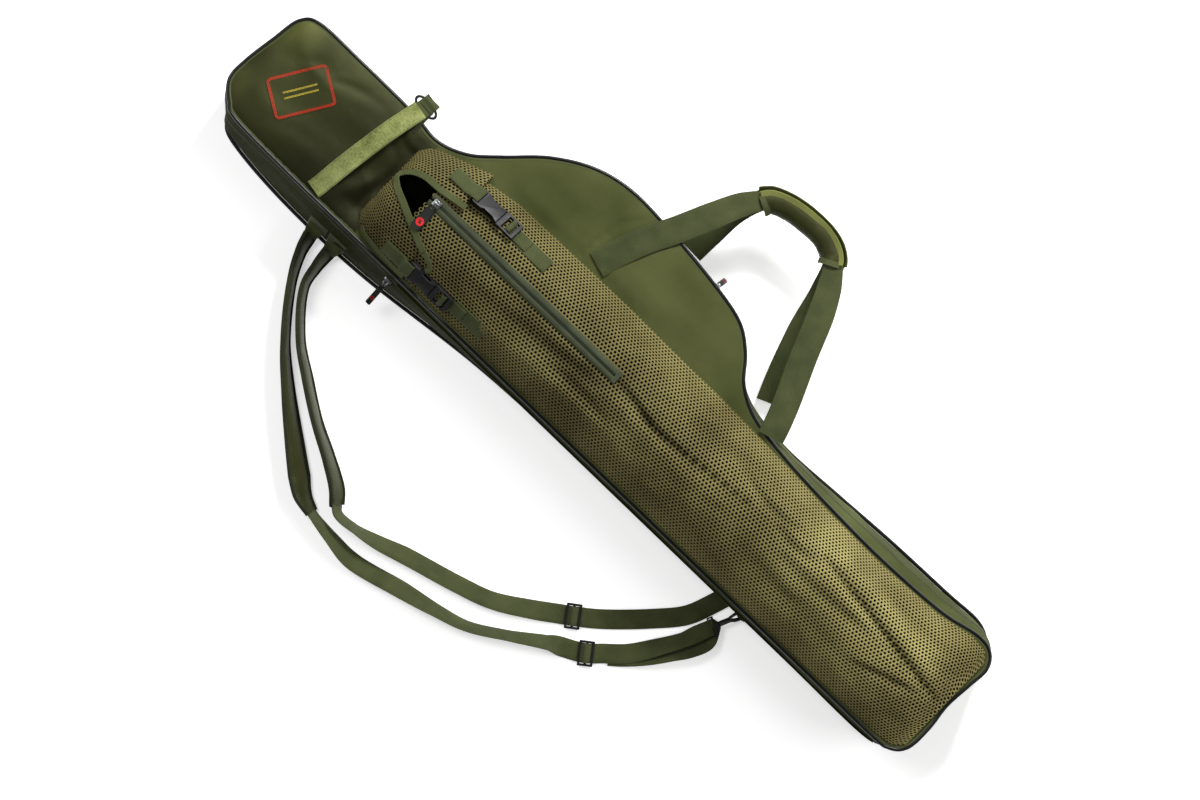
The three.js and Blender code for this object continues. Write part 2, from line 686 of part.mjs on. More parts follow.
// ---------- carry handle ----------
const SEWN = LEVEL.front + GAP + WEBBING / 2 + 0.2;
const frontHandle = [
  [533, 103, SEWN, 38, 0], [541, 130, SEWN, 38, 0], [556, 170, SEWN + 1, 38, 0], [579, 216, SEWN + 2, 38, 0],
  [600, 262, 107, 38, 0], [620, 304, 98, 34, 0], [643, 334, 92, 24, 0], [668, 346, 90, 24, 0],
  [700, 351, 89.5, 24, 0], [735, 350, 90, 24, 0], [760, 338, 92, 24, 0], [784, 306, 98, 34, 0],
  [803, 268, 106, 38, 0], [826, 210, 111, 38, 0], [854, 145, 112.5, 38, 0], [866, 112, SEWN + 1, 38, 0],
  [870, 98, SEWN, 38, 0],
];
add("front_handle", strip(frontHandle, WEBBING, 40), "webbing");
add(
  "rear_handle",
  strip(
    [
      [612, 210, 16, 38, 0], [614, 248, 36, 38, 0], [621, 298, 62, 34, 0], [643, 334, 79, 24, 0],
      [668, 346, 79, 24, 0], [700, 351, 79, 24, 0], [735, 350, 79, 24, 0], [760, 338, 80, 24, 0],
      [781, 300, 64, 34, 0], [800, 235, 40, 38, 0], [822, 172, 22, 38, 0], [838, 133, 15, 38, 0],
    ],
    WEBBING,
    32,
  ),
  "webbing",
);
// The grip wraps both straps; its closed side faces away from the case's back.
function channel(rows, { width, top, bottom, wall, steps }) {
  const curve = new THREE.CatmullRomCurve3(rows.map(([x, y, z]) => vec(x, y, z)));
  const half = width / 2;
  const inner = half - wall;
  const outline = [[-half, bottom], [-half, top], [half, top], [half, bottom], [inner, bottom],
    [inner, top - wall], [-inner, top - wall], [-inner, bottom]];
  const sections = [];
  for (let i = 0; i <= steps; i++) {
    const here = curve.getPoint(i / steps);
    const level = curve.getTangent(i / steps).cross(UP).normalize();
    sections.push(outline.map(([a, b]) => here.clone().addScaledVector(level, a).addScaledVector(UP, b)));
  }
  return skin(sections, {
    cap: [[0, 1, 6], [0, 6, 7], [1, 2, 5], [1, 5, 6], [2, 3, 4], [2, 4, 5]],
  });
}
add(
  "handle_grip",
  channel(
    frontHandle.filter(([, , , width]) => width === 24),
    { width: 34, top: 4.4, bottom: -22, wall: 2.6, steps: 12 },
  ),
  "canvas",
);
// ---------- origin: under the middle of the whole part, on the ground ----------
const whole = new THREE.Box3().setFromObject(group);
const middle = whole.getCenter(new THREE.Vector3());
group.position.set(-middle.x, -middle.y, -whole.min.z);
export default group;
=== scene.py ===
import json
import math

import bmesh
import bpy
import numpy as np
from mathutils import Matrix, Vector, noise
from mathutils.geometry import delaunay_2d_cdt

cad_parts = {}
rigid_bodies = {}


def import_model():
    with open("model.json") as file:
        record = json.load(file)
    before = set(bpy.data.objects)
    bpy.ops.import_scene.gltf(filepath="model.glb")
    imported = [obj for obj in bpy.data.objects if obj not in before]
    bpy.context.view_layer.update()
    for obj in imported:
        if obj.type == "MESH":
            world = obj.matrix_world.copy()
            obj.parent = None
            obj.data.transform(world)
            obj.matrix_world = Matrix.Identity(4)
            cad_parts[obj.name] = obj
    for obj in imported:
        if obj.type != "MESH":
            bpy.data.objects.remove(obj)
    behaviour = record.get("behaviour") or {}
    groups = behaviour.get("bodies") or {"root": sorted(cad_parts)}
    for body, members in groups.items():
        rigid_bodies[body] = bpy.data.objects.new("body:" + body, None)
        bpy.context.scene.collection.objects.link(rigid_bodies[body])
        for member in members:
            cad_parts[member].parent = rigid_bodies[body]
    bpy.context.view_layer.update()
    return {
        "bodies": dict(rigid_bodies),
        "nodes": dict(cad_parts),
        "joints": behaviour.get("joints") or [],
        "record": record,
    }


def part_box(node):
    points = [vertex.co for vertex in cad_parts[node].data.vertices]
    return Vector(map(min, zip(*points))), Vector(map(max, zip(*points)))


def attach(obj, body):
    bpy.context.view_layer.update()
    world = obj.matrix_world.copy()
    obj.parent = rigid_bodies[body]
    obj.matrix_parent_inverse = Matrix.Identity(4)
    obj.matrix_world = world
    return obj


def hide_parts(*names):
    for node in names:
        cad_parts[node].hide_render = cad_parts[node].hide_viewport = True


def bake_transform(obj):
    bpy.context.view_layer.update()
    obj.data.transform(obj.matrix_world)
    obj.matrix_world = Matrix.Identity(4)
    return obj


# A soft fishing-rod case on its back. Shapes are written in millimetres in the case's own layout, the one
# the CAD uses before its last shift, and pass through place() into the frame in metres.
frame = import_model()
nodes = frame["nodes"]

ring_low, ring_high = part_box("rod_strap_ring")
SHIFT = np.array([(ring_low[0] + ring_high[0]) * 500 - 212, (ring_low[1] + ring_high[1]) * 500 - 96, 0])


def place(points):
    return (np.asarray(points, float) + SHIFT) / 1000


# ---------- camera ----------
VIEW_DISTANCE = 7.0
VIEW_WIDTH = 1.6596
right = Vector((0.72, 0.694, 0)).normalized()
up = Vector((0, 0, 1)).cross(right)
target = Vector(place((665, -28, 90)))
camera_data = bpy.data.cameras.new("camera")
camera_data.sensor_width = 36
camera_data.lens = 36 * VIEW_DISTANCE / VIEW_WIDTH
camera_data.clip_end = 100
camera = bpy.data.objects.new("camera", camera_data)
camera.matrix_world = Matrix.Translation(target + Vector((0, 0, VIEW_DISTANCE))) @ Matrix(
    (right, up, Vector((0, 0, 1)))
).transposed().to_4x4()
bpy.context.scene.collection.objects.link(camera)
bpy.context.scene.camera = camera


# ---------- materials ----------
class Nodes:
    """A small helper that adds shader nodes and joins them."""

    def __init__(self, name):
        self.material = bpy.data.materials.new(name)
        self.material.use_nodes = True
        self.tree = self.material.node_tree
        self.shader = self.tree.nodes["Principled BSDF"]
        self.coords = self.tree.nodes.new("ShaderNodeTexCoord")

    def add(self, kind, settings=None, **inputs):
        node = self.tree.nodes.new("ShaderNode" + kind)
        for key, value in (settings or {}).items():
            setattr(node, key, value)
        for key, value in inputs.items():
            self.feed(node, key, value)
        return node

    def feed(self, node, key, value):
        key = key.replace("_", " ")
        socket = node.inputs[int(key[2:])] if key.startswith("in") and key[2:].isdigit() else node.inputs[key]
        if isinstance(value, bpy.types.NodeSocket):
            self.tree.links.new(value, socket)
        else:
            socket.default_value = value

    def noise(self, scale, detail=3.0, vector=None, rough=0.5):
        node = self.add("TexNoise", Scale=scale, Detail=detail, Roughness=rough)
        self.tree.links.new(vector or self.coords.outputs["Object"], node.inputs["Vector"])
        return node.outputs["Fac"]

    def ramp(self, fac, low, high, start=0.3, end=0.7):
        node = self.add("ValToRGB", Fac=fac)
        node.color_ramp.elements[0].color = (*low, 1)
        node.color_ramp.elements[0].position = start
        node.color_ramp.elements[1].color = (*high, 1)
        node.color_ramp.elements[1].position = end
        return node.outputs["Color"]

    def math(self, operation, a, b=0.0, clamp=False):
        node = self.add("Math", {"operation": operation, "use_clamp": clamp}, in0=a, in1=b)
        return node.outputs[0]

    def mix(self, fac, a, b):
        node = self.add("Mix", {"data_type": "RGBA"})
        self.feed(node, "Factor", fac)
        for socket, value in ((node.inputs[6], a), (node.inputs[7], b)):
            if isinstance(value, bpy.types.NodeSocket):
                self.tree.links.new(value, socket)
            else:
                socket.default_value = (*value, 1)
        return node.outputs[2]

    def bump(self, height, distance, strength=1.0):
        last = self.shader.inputs["Normal"].links
        node = self.add("Bump", Height=height, Distance=distance, Strength=strength)
        if last:
            self.tree.links.new(last[0].from_socket, node.inputs["Normal"])
        self.tree.links.new(node.outputs["Normal"], self.shader.inputs["Normal"])

    def set(self, **inputs):
        for key, value in inputs.items():
            self.feed(self.shader, key, value)

    def separate(self, vector):
        node = self.add("SeparateXYZ", Vector=vector)
        return node.outputs[0], node.outputs[1], node.outputs[2]


def colour(r, g, b):
    """A colour given as it looks, 0 to 255."""
    return tuple((c / 255) ** 2.2 for c in (r, g, b))


def weave(n, x, y, pitch):
    """Over-and-under plain weave of the given thread pitch, in metres, from two coordinates."""
    k = 2 * math.pi / pitch
    a = n.math("SINE", n.math("MULTIPLY", x, k))
    b = n.math("SINE", n.math("MULTIPLY", y, k))
    return n.math("MULTIPLY", a, b)


def fabric(name, low, high, pitch=0.0009, rough=0.62, sheen=0.1, depth=0.00008, creases=0.0012, shine=0.15):
    """Plain-woven cloth. A mesh may carry painted shade: the share of light taken out of the base colour for
    folds, hollows and sides turned from the lamps; a negative share paints a highlight.
    """
    n = Nodes(name)
    x, y, z = n.separate(n.coords.outputs["Object"])
    skew = n.math("ADD", y, n.math("MULTIPLY", z, 0.9))
    threads = weave(n, x, skew, pitch)
    patches = n.noise(9, 4)
    shade = n.ramp(patches, low, high, 0.35, 0.68)
    shade = n.mix(n.math("MULTIPLY", threads, 0.1, True), shade, tuple(c * 1.5 for c in high))
    # Painted shade and painted highlight: the attribute scales the base colour down, or up where it is
    # negative.
    shadow = n.add("Attribute", {"attribute_name": "fold_shadow"}).outputs["Fac"]
    lit = n.add("CombineColor")
    for socket in lit.inputs:
        n.tree.links.new(n.math("SUBTRACT", 1.0, shadow), socket)
    product = n.add("Mix", {"data_type": "RGBA", "blend_type": "MULTIPLY"}, Factor=1.0)
    n.tree.links.new(shade, product.inputs[6])
    n.tree.links.new(lit.outputs[0], product.inputs[7])
    n.set(Base_Color=product.outputs[2])
    n.set(Roughness=n.math("ADD", n.math("MULTIPLY", n.noise(60, 2), 0.12), rough - 0.06))
    n.set(Sheen_Weight=sheen, Sheen_Roughness=0.4, Sheen_Tint=(0.7, 0.72, 0.4, 1), Specular_IOR_Level=shine,
          Specular_Tint=(0.86, 0.88, 0.5, 1))
    n.bump(n.noise(38, 3, rough=0.6), creases, 0.5)
    n.bump(threads, depth, 0.7)
    return n.material


def webbing(name, low, high, rib=0.0016, rough=0.75):
    """Woven strap: ribs across it and thread columns along it, from its own length and width."""
    n = Nodes(name)
    along, across, _ = n.separate(n.coords.outputs["UV"])
    ribs = n.math("SINE", n.math("MULTIPLY", along, 2 * math.pi / rib))
    columns = n.math("SINE", n.math("MULTIPLY", across, 2 * math.pi / 0.0034))
    weft = n.math("MULTIPLY", ribs, n.math("ADD", n.math("MULTIPLY", columns, 0.5), 0.6))
    shade = n.ramp(n.noise(30, 4), low, high, 0.3, 0.7)
    n.set(Base_Color=n.mix(n.math("MULTIPLY_ADD", weft, 0.3, False), shade, tuple(c * 0.45 for c in low)))
    n.set(Roughness=rough, Sheen_Weight=0.08, Sheen_Roughness=0.5, Specular_IOR_Level=0.15)
    n.bump(weft, 0.0003, 0.8)
    n.bump(n.noise(700, 2), 0.00012, 0.5)
    return n.material


def moulded(name, base, rough):
    n = Nodes(name)
    n.set(Base_Color=n.ramp(n.noise(45, 3), base, tuple(c * 1.6 + 0.002 for c in base), 0.4, 0.75))
    n.set(Roughness=n.math("ADD", n.math("MULTIPLY", n.noise(120, 4), 0.2), rough - 0.1))
    n.set(Specular_IOR_Level=0.32)
    n.bump(n.noise(900, 2), 0.00004, 0.5)
    return n.material


CLOTHS = {  # darker and lighter colour, then what differs from plain cloth
    "head_cloth": ((36, 38, 20), (50, 52, 29), {"rough": 0.42, "shine": 0.24}),
    "pouch_cloth": ((62, 67, 38), (80, 84, 52), {"rough": 0.7}),
    "gusset_cloth": ((54, 58, 34), (72, 77, 48), {"rough": 0.75, "sheen": 0.0, "shine": 0.08}),
    "lining": ((22, 23, 18), (34, 35, 26), {"rough": 0.85, "sheen": 0.0}),
    # near-black for the sheets behind the pocket mesh and in the hood's notch: painted shade
    "pocket_shade_black": ((11, 11, 8), (22, 21, 15), {"rough": 0.9, "sheen": 0.0, "shine": 0.0}),
    "mesh_yarn": ((100, 92, 60), (138, 130, 84),
                  {"pitch": 0.0012, "rough": 0.7, "sheen": 0.0, "depth": 0.00015}),
    "lining_pale": ((104, 108, 60), (132, 136, 80), {"rough": 0.7}),
    "binding": ((62, 67, 44), (82, 87, 58), {"pitch": 0.0014, "rough": 0.7, "depth": 0.00015}),
    "thread": ((66, 72, 48), (90, 96, 66), {"pitch": 0.0006, "rough": 0.6}),
    "red_thread": ((196, 40, 34), (222, 62, 50), {"pitch": 0.0006, "rough": 0.5}),
    "yellow_thread": ((198, 178, 60), (224, 206, 84), {"pitch": 0.0006, "rough": 0.5}),
}
STRAPS = {
    "webbing": ((68, 74, 44), (88, 94, 58), {}),
    "webbing_dark": ((46, 51, 32), (62, 68, 43), {}),
    "tape": ((62, 68, 50), (84, 90, 66), {"rib": 0.0012, "rough": 0.65}),
}
MOULDED = {  # colour and roughness
    "zip_teeth": ((38, 42, 31), 0.4),
    "piping": ((10, 11, 11), 0.34),
    "plastic": ((9, 9, 10), 0.5),
    "rubber": ((18, 24, 20), 0.45),
    "red": ((176, 26, 28), 0.5),
}
materials = {name: fabric(name, colour(*low), colour(*high), **how)
             for name, (low, high, how) in CLOTHS.items()}
materials |= {name: webbing(name, colour(*low), colour(*high), **how)
              for name, (low, high, how) in STRAPS.items()}
materials |= {name: moulded(name, colour(*base), rough) for name, (base, rough) in MOULDED.items()}


def velour_material():
    n = Nodes("velour")
    nap = n.noise(340, 5, rough=0.7)
    n.set(Base_Color=n.ramp(n.math("ADD", n.math("MULTIPLY", n.noise(28, 3), 0.55),
                                   n.math("MULTIPLY", nap, 0.45)),
                            colour(72, 80, 38), colour(150, 156, 100), 0.34, 0.66))
    n.set(Roughness=0.95, Sheen_Weight=0.2, Sheen_Roughness=0.35, Specular_IOR_Level=0.1)
    n.bump(nap, 0.0009, 0.9)
    n.bump(n.noise(1600, 2), 0.0004, 0.6)
    return n.material


def metal_material():
    n = Nodes("plated_metal")
    n.set(Base_Color=n.ramp(n.noise(80, 3), colour(96, 98, 100), colour(150, 152, 154), 0.3, 0.7))
    n.set(Metallic=1.0, Roughness=n.math("ADD", n.math("MULTIPLY", n.noise(260, 4), 0.2), 0.18))
    n.bump(n.noise(800, 2), 0.00003, 0.4)
    return n.material


materials["velour"] = velour_material()
materials["metal"] = metal_material()


# ---------- building meshes ----------
UP = np.array([0.0, 0.0, 1.0])


def unit(v):
    v = np.asarray(v, float)
    return v / np.maximum(np.linalg.norm(v, axis=-1, keepdims=True), 1e-9)


def smoothstep(x, low, high):
    t = np.clip((x - low) / (high - low), 0, 1)
    return t * t * (3 - 2 * t)


def wave(points, *sizes, seed=0.0):
    """Smooth noise, -1 to 1, at each point; a size for each axis, in mm."""
    scaled = np.asarray(points, float)[:, : len(sizes)] / sizes
    flat = np.zeros((len(scaled), 3))
    flat[:, : len(sizes)] = scaled
    return np.array([noise.noise(Vector((a, b, c + seed))) for a, b, c in flat])


def make(name, points, faces, material, body, stands_for=(), slot=None, uv=None, second=None, sharp=40):
    """A piece from points in mm. second is (material, test of a face's normal and middle) for some faces."""
    mesh = bpy.data.meshes.new(name)
    mesh.from_pydata(place(points).tolist(), [], [tuple(int(i) for i in f) for f in faces])
    if uv is not None:
        layer = mesh.uv_layers.new(name="UVMap")
        corners = np.zeros(len(mesh.loops), np.int32)
        mesh.loops.foreach_get("vertex_index", corners)
        layer.data.foreach_set("uv", (np.asarray(uv, np.float32) / 1000)[corners].ravel())
    sides = bmesh.new()
    sides.from_mesh(mesh)
    bmesh.ops.recalc_face_normals(sides, faces=sides.faces)
    sides.to_mesh(mesh)
    sides.free()
    mesh.shade_smooth()
    mesh.set_sharp_from_angle(angle=math.radians(sharp))
    mesh.materials.append(materials[material])
    if second:
        mesh.materials.append(materials[second[0]])
        for face in mesh.polygons:
            face.material_index = int(second[1](face.normal, np.array(face.center) * 1000 - SHIFT))
    piece = bpy.data.objects.new(name, mesh)
    bpy.context.scene.collection.objects.link(piece)
    if body:
        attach(piece, body)
    if stands_for:
        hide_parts(*stands_for)
    return piece


def shadowed(piece, shadow):
    """Stores painted shade at each point: the share of light taken out of the base colour, for folds and for
    sides turned from the lamps; a negative share is a painted highlight.
    """
    layer = piece.data.attributes.new("fold_shadow", "FLOAT", "POINT")
    layer.data.foreach_set("value", np.asarray(shadow, np.float32))


def grid(rows, columns, wrap_rows=False, wrap_columns=False):
    """Quads over a grid of points stored row by row."""
    faces = []
    for r in range(rows if wrap_rows else rows - 1):
        for c in range(columns if wrap_columns else columns - 1):
            d = (c + 1) % columns
            s = (r + 1) % rows
            faces.append((r * columns + c, r * columns + d, s * columns + d, s * columns + c))
    return faces


def rings(name, sections, material, body, closed=False, **more):
    """Skins a row of rings of points; the two ends are closed unless the row is."""
    sections = np.asarray(sections, float)
    rows, columns = sections.shape[:2]
    faces = grid(rows, columns, closed, True)
    if not closed:
        faces += [tuple(range(columns)), tuple(range((rows - 1) * columns, rows * columns))]
    return make(name, sections.reshape(-1, 3), faces, material, body, **more)


def measured(line):
    """How far along the line each of its points lies."""
    return np.concatenate([[0], np.cumsum(np.linalg.norm(np.diff(line, axis=0), axis=1))])


def sampled(values, travelled, at):
    """Values along a line, read at a distance along it."""
    return np.array([np.interp(at, travelled, values[:, k]) for k in range(3)])


def joined(parts):
    """Several (points, faces) as one."""
    points, faces, count = [], [], 0
    for p, f in parts:
        points.append(np.asarray(p, float))
        faces += [tuple(i + count for i in face) for face in f]
        count += len(p)
    return np.vstack(points), faces


def closed_curve(edge, steps):
    """A smooth closed line through the points, with the same steps between each two."""
    n = len(edge)
    t = np.arange(steps) * n / steps
    k = t.astype(int)
    f = (t - k)[:, None]
    a, b, c, d = (edge[(k + i) % n] for i in (-1, 0, 1, 2))
    return b + 0.5 * f * (c - a + f * (2 * a - 5 * b + 4 * c - d + f * (3 * (b - c) + d - a)))


def open_curve(rows, steps):
    """A smooth line through the rows' points, the centripetal curve that the CAD strips follow."""
    p = np.asarray(rows, float)
    p = np.vstack([2 * p[0] - p[1], p, 2 * p[-1] - p[-2]])
    t = np.linspace(0, len(rows) - 1, steps + 1)
    k = np.minimum(t.astype(int), len(rows) - 2)
    f = (t - k)[:, None]
    a, b, c, d = (p[k + i] for i in range(4))
    g, h, m = (np.sqrt(np.maximum(np.linalg.norm(q - r, axis=1), 1e-6))[:, None]
               for q, r in ((b, a), (c, b), (d, c)))
    first = ((b - a) / g - (c - a) / (g + h) + (c - b) / h) * h
    last = ((c - b) / h - (d - b) / (h + m) + (d - c) / m) * h
    return ((2 * f**3 - 3 * f**2 + 1) * b + (f**3 - 2 * f**2 + f) * first
            + (3 * f**2 - 2 * f**3) * c + (f**3 - f**2) * last)


def sideways(line, closed=True):
    """Unit vectors out of a closed flat line that runs anticlockwise."""
    along = np.roll(line, -1, 0) - np.roll(line, 1, 0) if closed else np.gradient(line, axis=0)
    return unit(np.stack([along[:, 1], -along[:, 0]], 1))


def inside(points, polygon):
    """True for each point inside the polygon."""
    x, y = points[:, 0], points[:, 1]
    found = np.zeros(len(points), bool)
    for (x0, y0), (x1, y1) in zip(polygon, np.roll(polygon, -1, 0)):
        if y0 != y1:
            crosses = ((y0 > y) != (y1 > y)) & (x < (x1 - x0) * (y - y0) / (y1 - y0) + x0)
            found ^= crosses
    return found


def distance(points, line):
    """Each point's distance to a dense closed line."""
    best = np.full(len(points), 1e9)
    for i in range(0, len(line), 40):
        gap = np.linalg.norm(points[:, None] - line[None, i : i + 40], axis=2).min(1)
        best = np.minimum(best, gap)
    return best


def filled(line, pitch):
    """A triangle mesh that fills a closed flat line: its points and faces, with the line's points first."""
    low, high = line.min(0), line.max(0)
    rows = np.arange(low[1] + pitch / 2, high[1], pitch * 0.866)
    points = []
    for i, y in enumerate(rows):
        x = np.arange(low[0] + (i % 2) * pitch / 2, high[0], pitch)
        points.append(np.stack([x, np.full(len(x), y)], 1))
    points = np.vstack(points)
    points = points[inside(points, line)]
    points = points[distance(points, line) > pitch * 0.6]
    every = [Vector(p) for p in np.vstack([line, points])]
    verts, _, faces, _, _, _ = delaunay_2d_cdt(every, [], [list(range(len(line)))], 1, 1e-4)
    return np.array([tuple(v) for v in verts]), faces


def slab(name, line, pitch, top, bottom, material, body, **more):
    """A closed padded panel over the line; top and bottom give heights from the points and edge distance."""
    flat, faces = filled(line, pitch)
    gap = distance(flat, line)
    n, count = len(flat), len(line)
    upper = np.column_stack([flat, top(flat, gap)])
    lower = np.column_stack([flat, bottom(flat, gap)])
    rim = [(i, (i + 1) % count, n + (i + 1) % count, n + i) for i in range(count)]
    back = [tuple(n + i for i in reversed(f)) for f in faces]
    return make(name, np.vstack([upper, lower]), faces + back + rim, material, body, **more)


# ---------- stitches ----------
def stitch_row(line, normals, every=4.2, length=3.0, radius=0.45):
    """Short threads along a line, each a small spindle lying on the cloth."""
    line, normals = np.asarray(line, float), unit(normals)
    travelled = measured(line)
    parts = []
    for start in np.arange(every / 2, travelled[-1] - length, every):
        a, m, b = (sampled(line, travelled, start + d) for d in (0, length / 2, length))
        up_here = unit(sampled(normals, travelled, start))
        side = unit(np.cross(b - a, up_here)) * radius
        lift = up_here * radius
        parts.append(([a, m + side, m + lift, m - side, m - lift, b],
                      [(0, 1, 2), (0, 2, 3), (0, 3, 4), (0, 4, 1),
                        (5, 2, 1), (5, 3, 2), (5, 4, 3), (5, 1, 4)]))
    return joined(parts)


def stitched(name, rows, body, material="thread", **how):
    points, faces = joined([stitch_row(line, normals, **how) for line, normals in rows])
    return make(name, points, faces, material, body, sharp=180)


# ---------- flat straps ----------
ACROSS = np.array([-1, -0.93, -0.5, 0, 0.5, 0.93, 1])
EDGE_THICKNESS = np.array([0.3, 1, 1, 1, 1, 1, 0.3])


def strap_axes(rows, steps):
    """Along a strap's rows [x, y, z, width, roll]: points, width directions, thickness directions, widths."""
    rows = np.array([list(r) + [0] * (5 - len(r)) for r in rows], float)
    here = open_curve(rows[:, :3], steps)
    t = np.linspace(0, len(rows) - 1, steps + 1)
    width = np.interp(t, np.arange(len(rows)), rows[:, 3])
    roll = np.radians(np.interp(t, np.arange(len(rows)), rows[:, 4]))[:, None]
    along = unit(np.gradient(here, axis=0))
    level = unit(np.cross(along, UP))
    over = unit(np.cross(level, along))
    wide = level * np.cos(roll) + over * np.sin(roll)
    return here, wide, unit(np.cross(wide, along)), width


def ribbon(name, rows, thickness, material, body, steps=60, wobble=0.25, seams=None, **more):
    """A flat woven strap. seams lists the shares of its half width that carry a row of stitches."""
    here, wide, thick, width = strap_axes(rows, steps)
    length = measured(here)
    sway = wave(here, 45, 45, 45, seed=3.1) * wobble
    sections, uv = [], []
    for i, p in enumerate(here):
        shape = []
        for face in (1, -1):
            order = range(7) if face > 0 else range(6, -1, -1)
            for k in order:
                lift = face * EDGE_THICKNESS[k] * thickness / 2 + sway[i] * ACROSS[k]
                shape.append(p + wide[i] * ACROSS[k] * width[i] / 2 + thick[i] * lift)
                uv.append((length[i], ACROSS[k] * width[i] / 2))
        sections.append(shape)
    piece = rings(name, sections, material, body, uv=uv, **more)
    if seams:
        rows_of = [(here + wide * (share * width / 2)[:, None] + thick * (thickness / 2), thick)
                   for share in seams]
        stitched(name + "_stitches", rows_of, body)
    return piece


GROUND_CLEAR = 1.4


def on_ground(rows, thickness):
    """Rows [x, y, width, roll, lift] of a strap whose lower edge lies on the ground, as full strap rows."""
    made = []
    for x, y, width, roll, *lift in rows:
        turn = math.radians(roll)
        half = (width * math.sin(turn) + thickness * math.cos(turn)) / 2
        made.append([x, y, half + GROUND_CLEAR + (lift[0] if lift else 0), width, roll])
    return made


# ---------- outlines of the case ----------
PANEL = 5
WALL = 3
GAP = 0.3
TAPE = 1.6
PIPING_R = 2.7
WEBBING = 1.8
ZIP_LOW, ZIP_MID, ZIP_HIGH = 70, 75, 80
LID_PANEL = 104
FRONT = LID_PANEL + PANEL
HINGE_WALL_Y = -108
CASE_MIDDLE = 650
STEPS = 720
FRONT_EDGE = np.array([
    [12, -84], [38, -95], [150, -98], [300, -98], [500, -98], [700, -98], [900, -98], [1100, -98],
    [1250, -98], [1284, -94], [1301, -76], [1303, -38], [1299, 0], [1302, 42], [1304, 74], [1290, 93],
    [1262, 96], [1205, 85], [1100, 80], [1000, 82], [905, 88], [835, 99], [792, 122], [762, 156],
    [725, 181], [660, 194], [580, 203], [500, 207], [440, 194], [385, 162], [338, 118], [300, 86],
    [255, 70], [200, 75], [100, 76], [30, 75], [6, 60], [-2, 18], [-9, -30], [-8, -62],
], float)
SHIFTS = [(0, -14), (70, -35), (280, -33), (500, -12), (700, -3),
          (900, 12), (1080, 29), (1220, 26), (1310, 6)]


def back_shift(x):
    """How far the back panel lies sideways under the front one, because the soft case lies twisted."""
    x = np.clip(x, SHIFTS[0][0], SHIFTS[-1][0])
    made = np.full(np.shape(x), float(SHIFTS[-1][1]))
    for (x0, v0), (x1, v1) in zip(SHIFTS, SHIFTS[1:]):
        made = np.where((x >= x0) & (x < x1), v0 + (v1 - v0) * smoothstep(x, x0, x1), made)
    return made


edge_x, edge_y = FRONT_EDGE.T
hinge_points = (np.arange(len(FRONT_EDGE)) >= 1) & (np.arange(len(FRONT_EDGE)) <= 8)
zip_y = np.where(hinge_points, HINGE_WALL_Y, edge_y + 0.5 * back_shift(edge_x) + 4 * np.sign(edge_y))
front = closed_curve(FRONT_EDGE, STEPS)
zipline = closed_curve(np.stack([edge_x, zip_y], 1), STEPS)
back = closed_curve(
    np.stack([edge_x + (CASE_MIDDLE - edge_x) * 0.006, edge_y + back_shift(edge_x)], 1), STEPS
)
HINGE_FROM = round(3.3 * STEPS / len(FRONT_EDGE))
HINGE_TO = round(8.2 * STEPS / len(FRONT_EDGE))
zip_steps = np.arange(HINGE_TO, HINGE_FROM + STEPS + 1) % STEPS
hinge_steps = np.arange(HINGE_FROM, HINGE_TO + 1)


def lifted(line, z):
    return np.column_stack([line, np.full(len(line), float(z))])


def gusset(name, low, high, z_low, z_high, bulge, folds, body, **more):
    """The wall between two edges: cloth outside, lining inside, with soft vertical folds."""
    heights = np.linspace(0, 1, 15)
    out = lifted(sideways(front), 0)
    columns = []
    for t in heights:
        ring = lifted(low + (high - low) * t, z_low + (z_high - z_low) * t)
        ease = math.sin(math.pi * t)
        crease = wave(ring, 90, 90, 30, seed=1.7) + 0.5 * wave(ring, 32, 32, 24, seed=8.2)
        columns.append(ring + out * (bulge * ease + folds * ease * crease)[:, None])
    for t in heights[::-2]:
        ring = lifted(low + (high - low) * t, z_low + (z_high - z_low) * t)
        columns.append(ring - out * WALL)
    sections = np.stack(columns, 1)
    middle = (low + high) / 2

    def faces_in(normal, centre):
        k = np.argmin(np.linalg.norm(middle - centre[:2], axis=1))
        return np.dot(sideways(front)[k], normal[:2]) < -0.1

    piece = rings(name, sections, "gusset_cloth", body, closed=True, second=("lining", faces_in), **more)
    x, y, _ = sections.reshape(-1, 3).T
    # Painted shade on the wall's -y side, stronger towards the head end, and a painted highlight on its +y
    # side.
    shadowed(piece, 0.62 * smoothstep(-y, 40, 80) * (1 - 0.5 * smoothstep(x, 200, 1200))
             - 0.3 * smoothstep(y, 20, 70))
    return piece


def tube(line, radius, sides=10):
    """A round cord along a closed line of points."""
    out = lifted(sideways(line[:, :2]), 0)
    turn = np.arange(sides) * 2 * math.pi / sides
    return line[:, None] + radius * (out[:, None] * np.cos(turn)[:, None] + UP * np.sin(turn)[:, None])


def teeth(name, line, normals, pitch, size, material, body, side=0):
    """A coil zip's teeth along a line, each a small rounded block; side shifts them to one tape."""
    line, normals = np.asarray(line, float), unit(normals)
    travelled = measured(line)
    long, wide, tall = size
    parts = []
    for start in np.arange(pitch / 2 + side * pitch / 2, travelled[-1] - pitch, pitch):
        p, q = (sampled(line, travelled, start + d) for d in (0, 0.5))
        up_here = unit(sampled(normals, travelled, start))
        along = unit(q - p)
        across = np.cross(up_here, along)
        corners = [p + along * a * long / 2 + across * b * wide / 2 * (0.7 if c > 0 else 1)
                   + up_here * c * tall
                   for c in (0, 1) for a, b in ((-1, -1), (1, -1), (1, 1), (-1, 1))]
        parts.append((corners, [(0, 3, 2, 1), (4, 5, 6, 7), (0, 1, 5, 4),
                                (1, 2, 6, 5), (2, 3, 7, 6), (3, 0, 4, 7)]))
    points, faces = joined(parts)
    return make(name, points, faces, material, body, sharp=30)


# ---------- base: panels, gusset, piping, padding ----------
def back_top(p, gap):
    return 5 - 0.6 * np.exp(-gap / 6)


def back_bottom(p, gap):
    return 2.6 * np.exp(-gap / 9) + 0.35 + 0.35 * wave(p, 70, 70, seed=4)


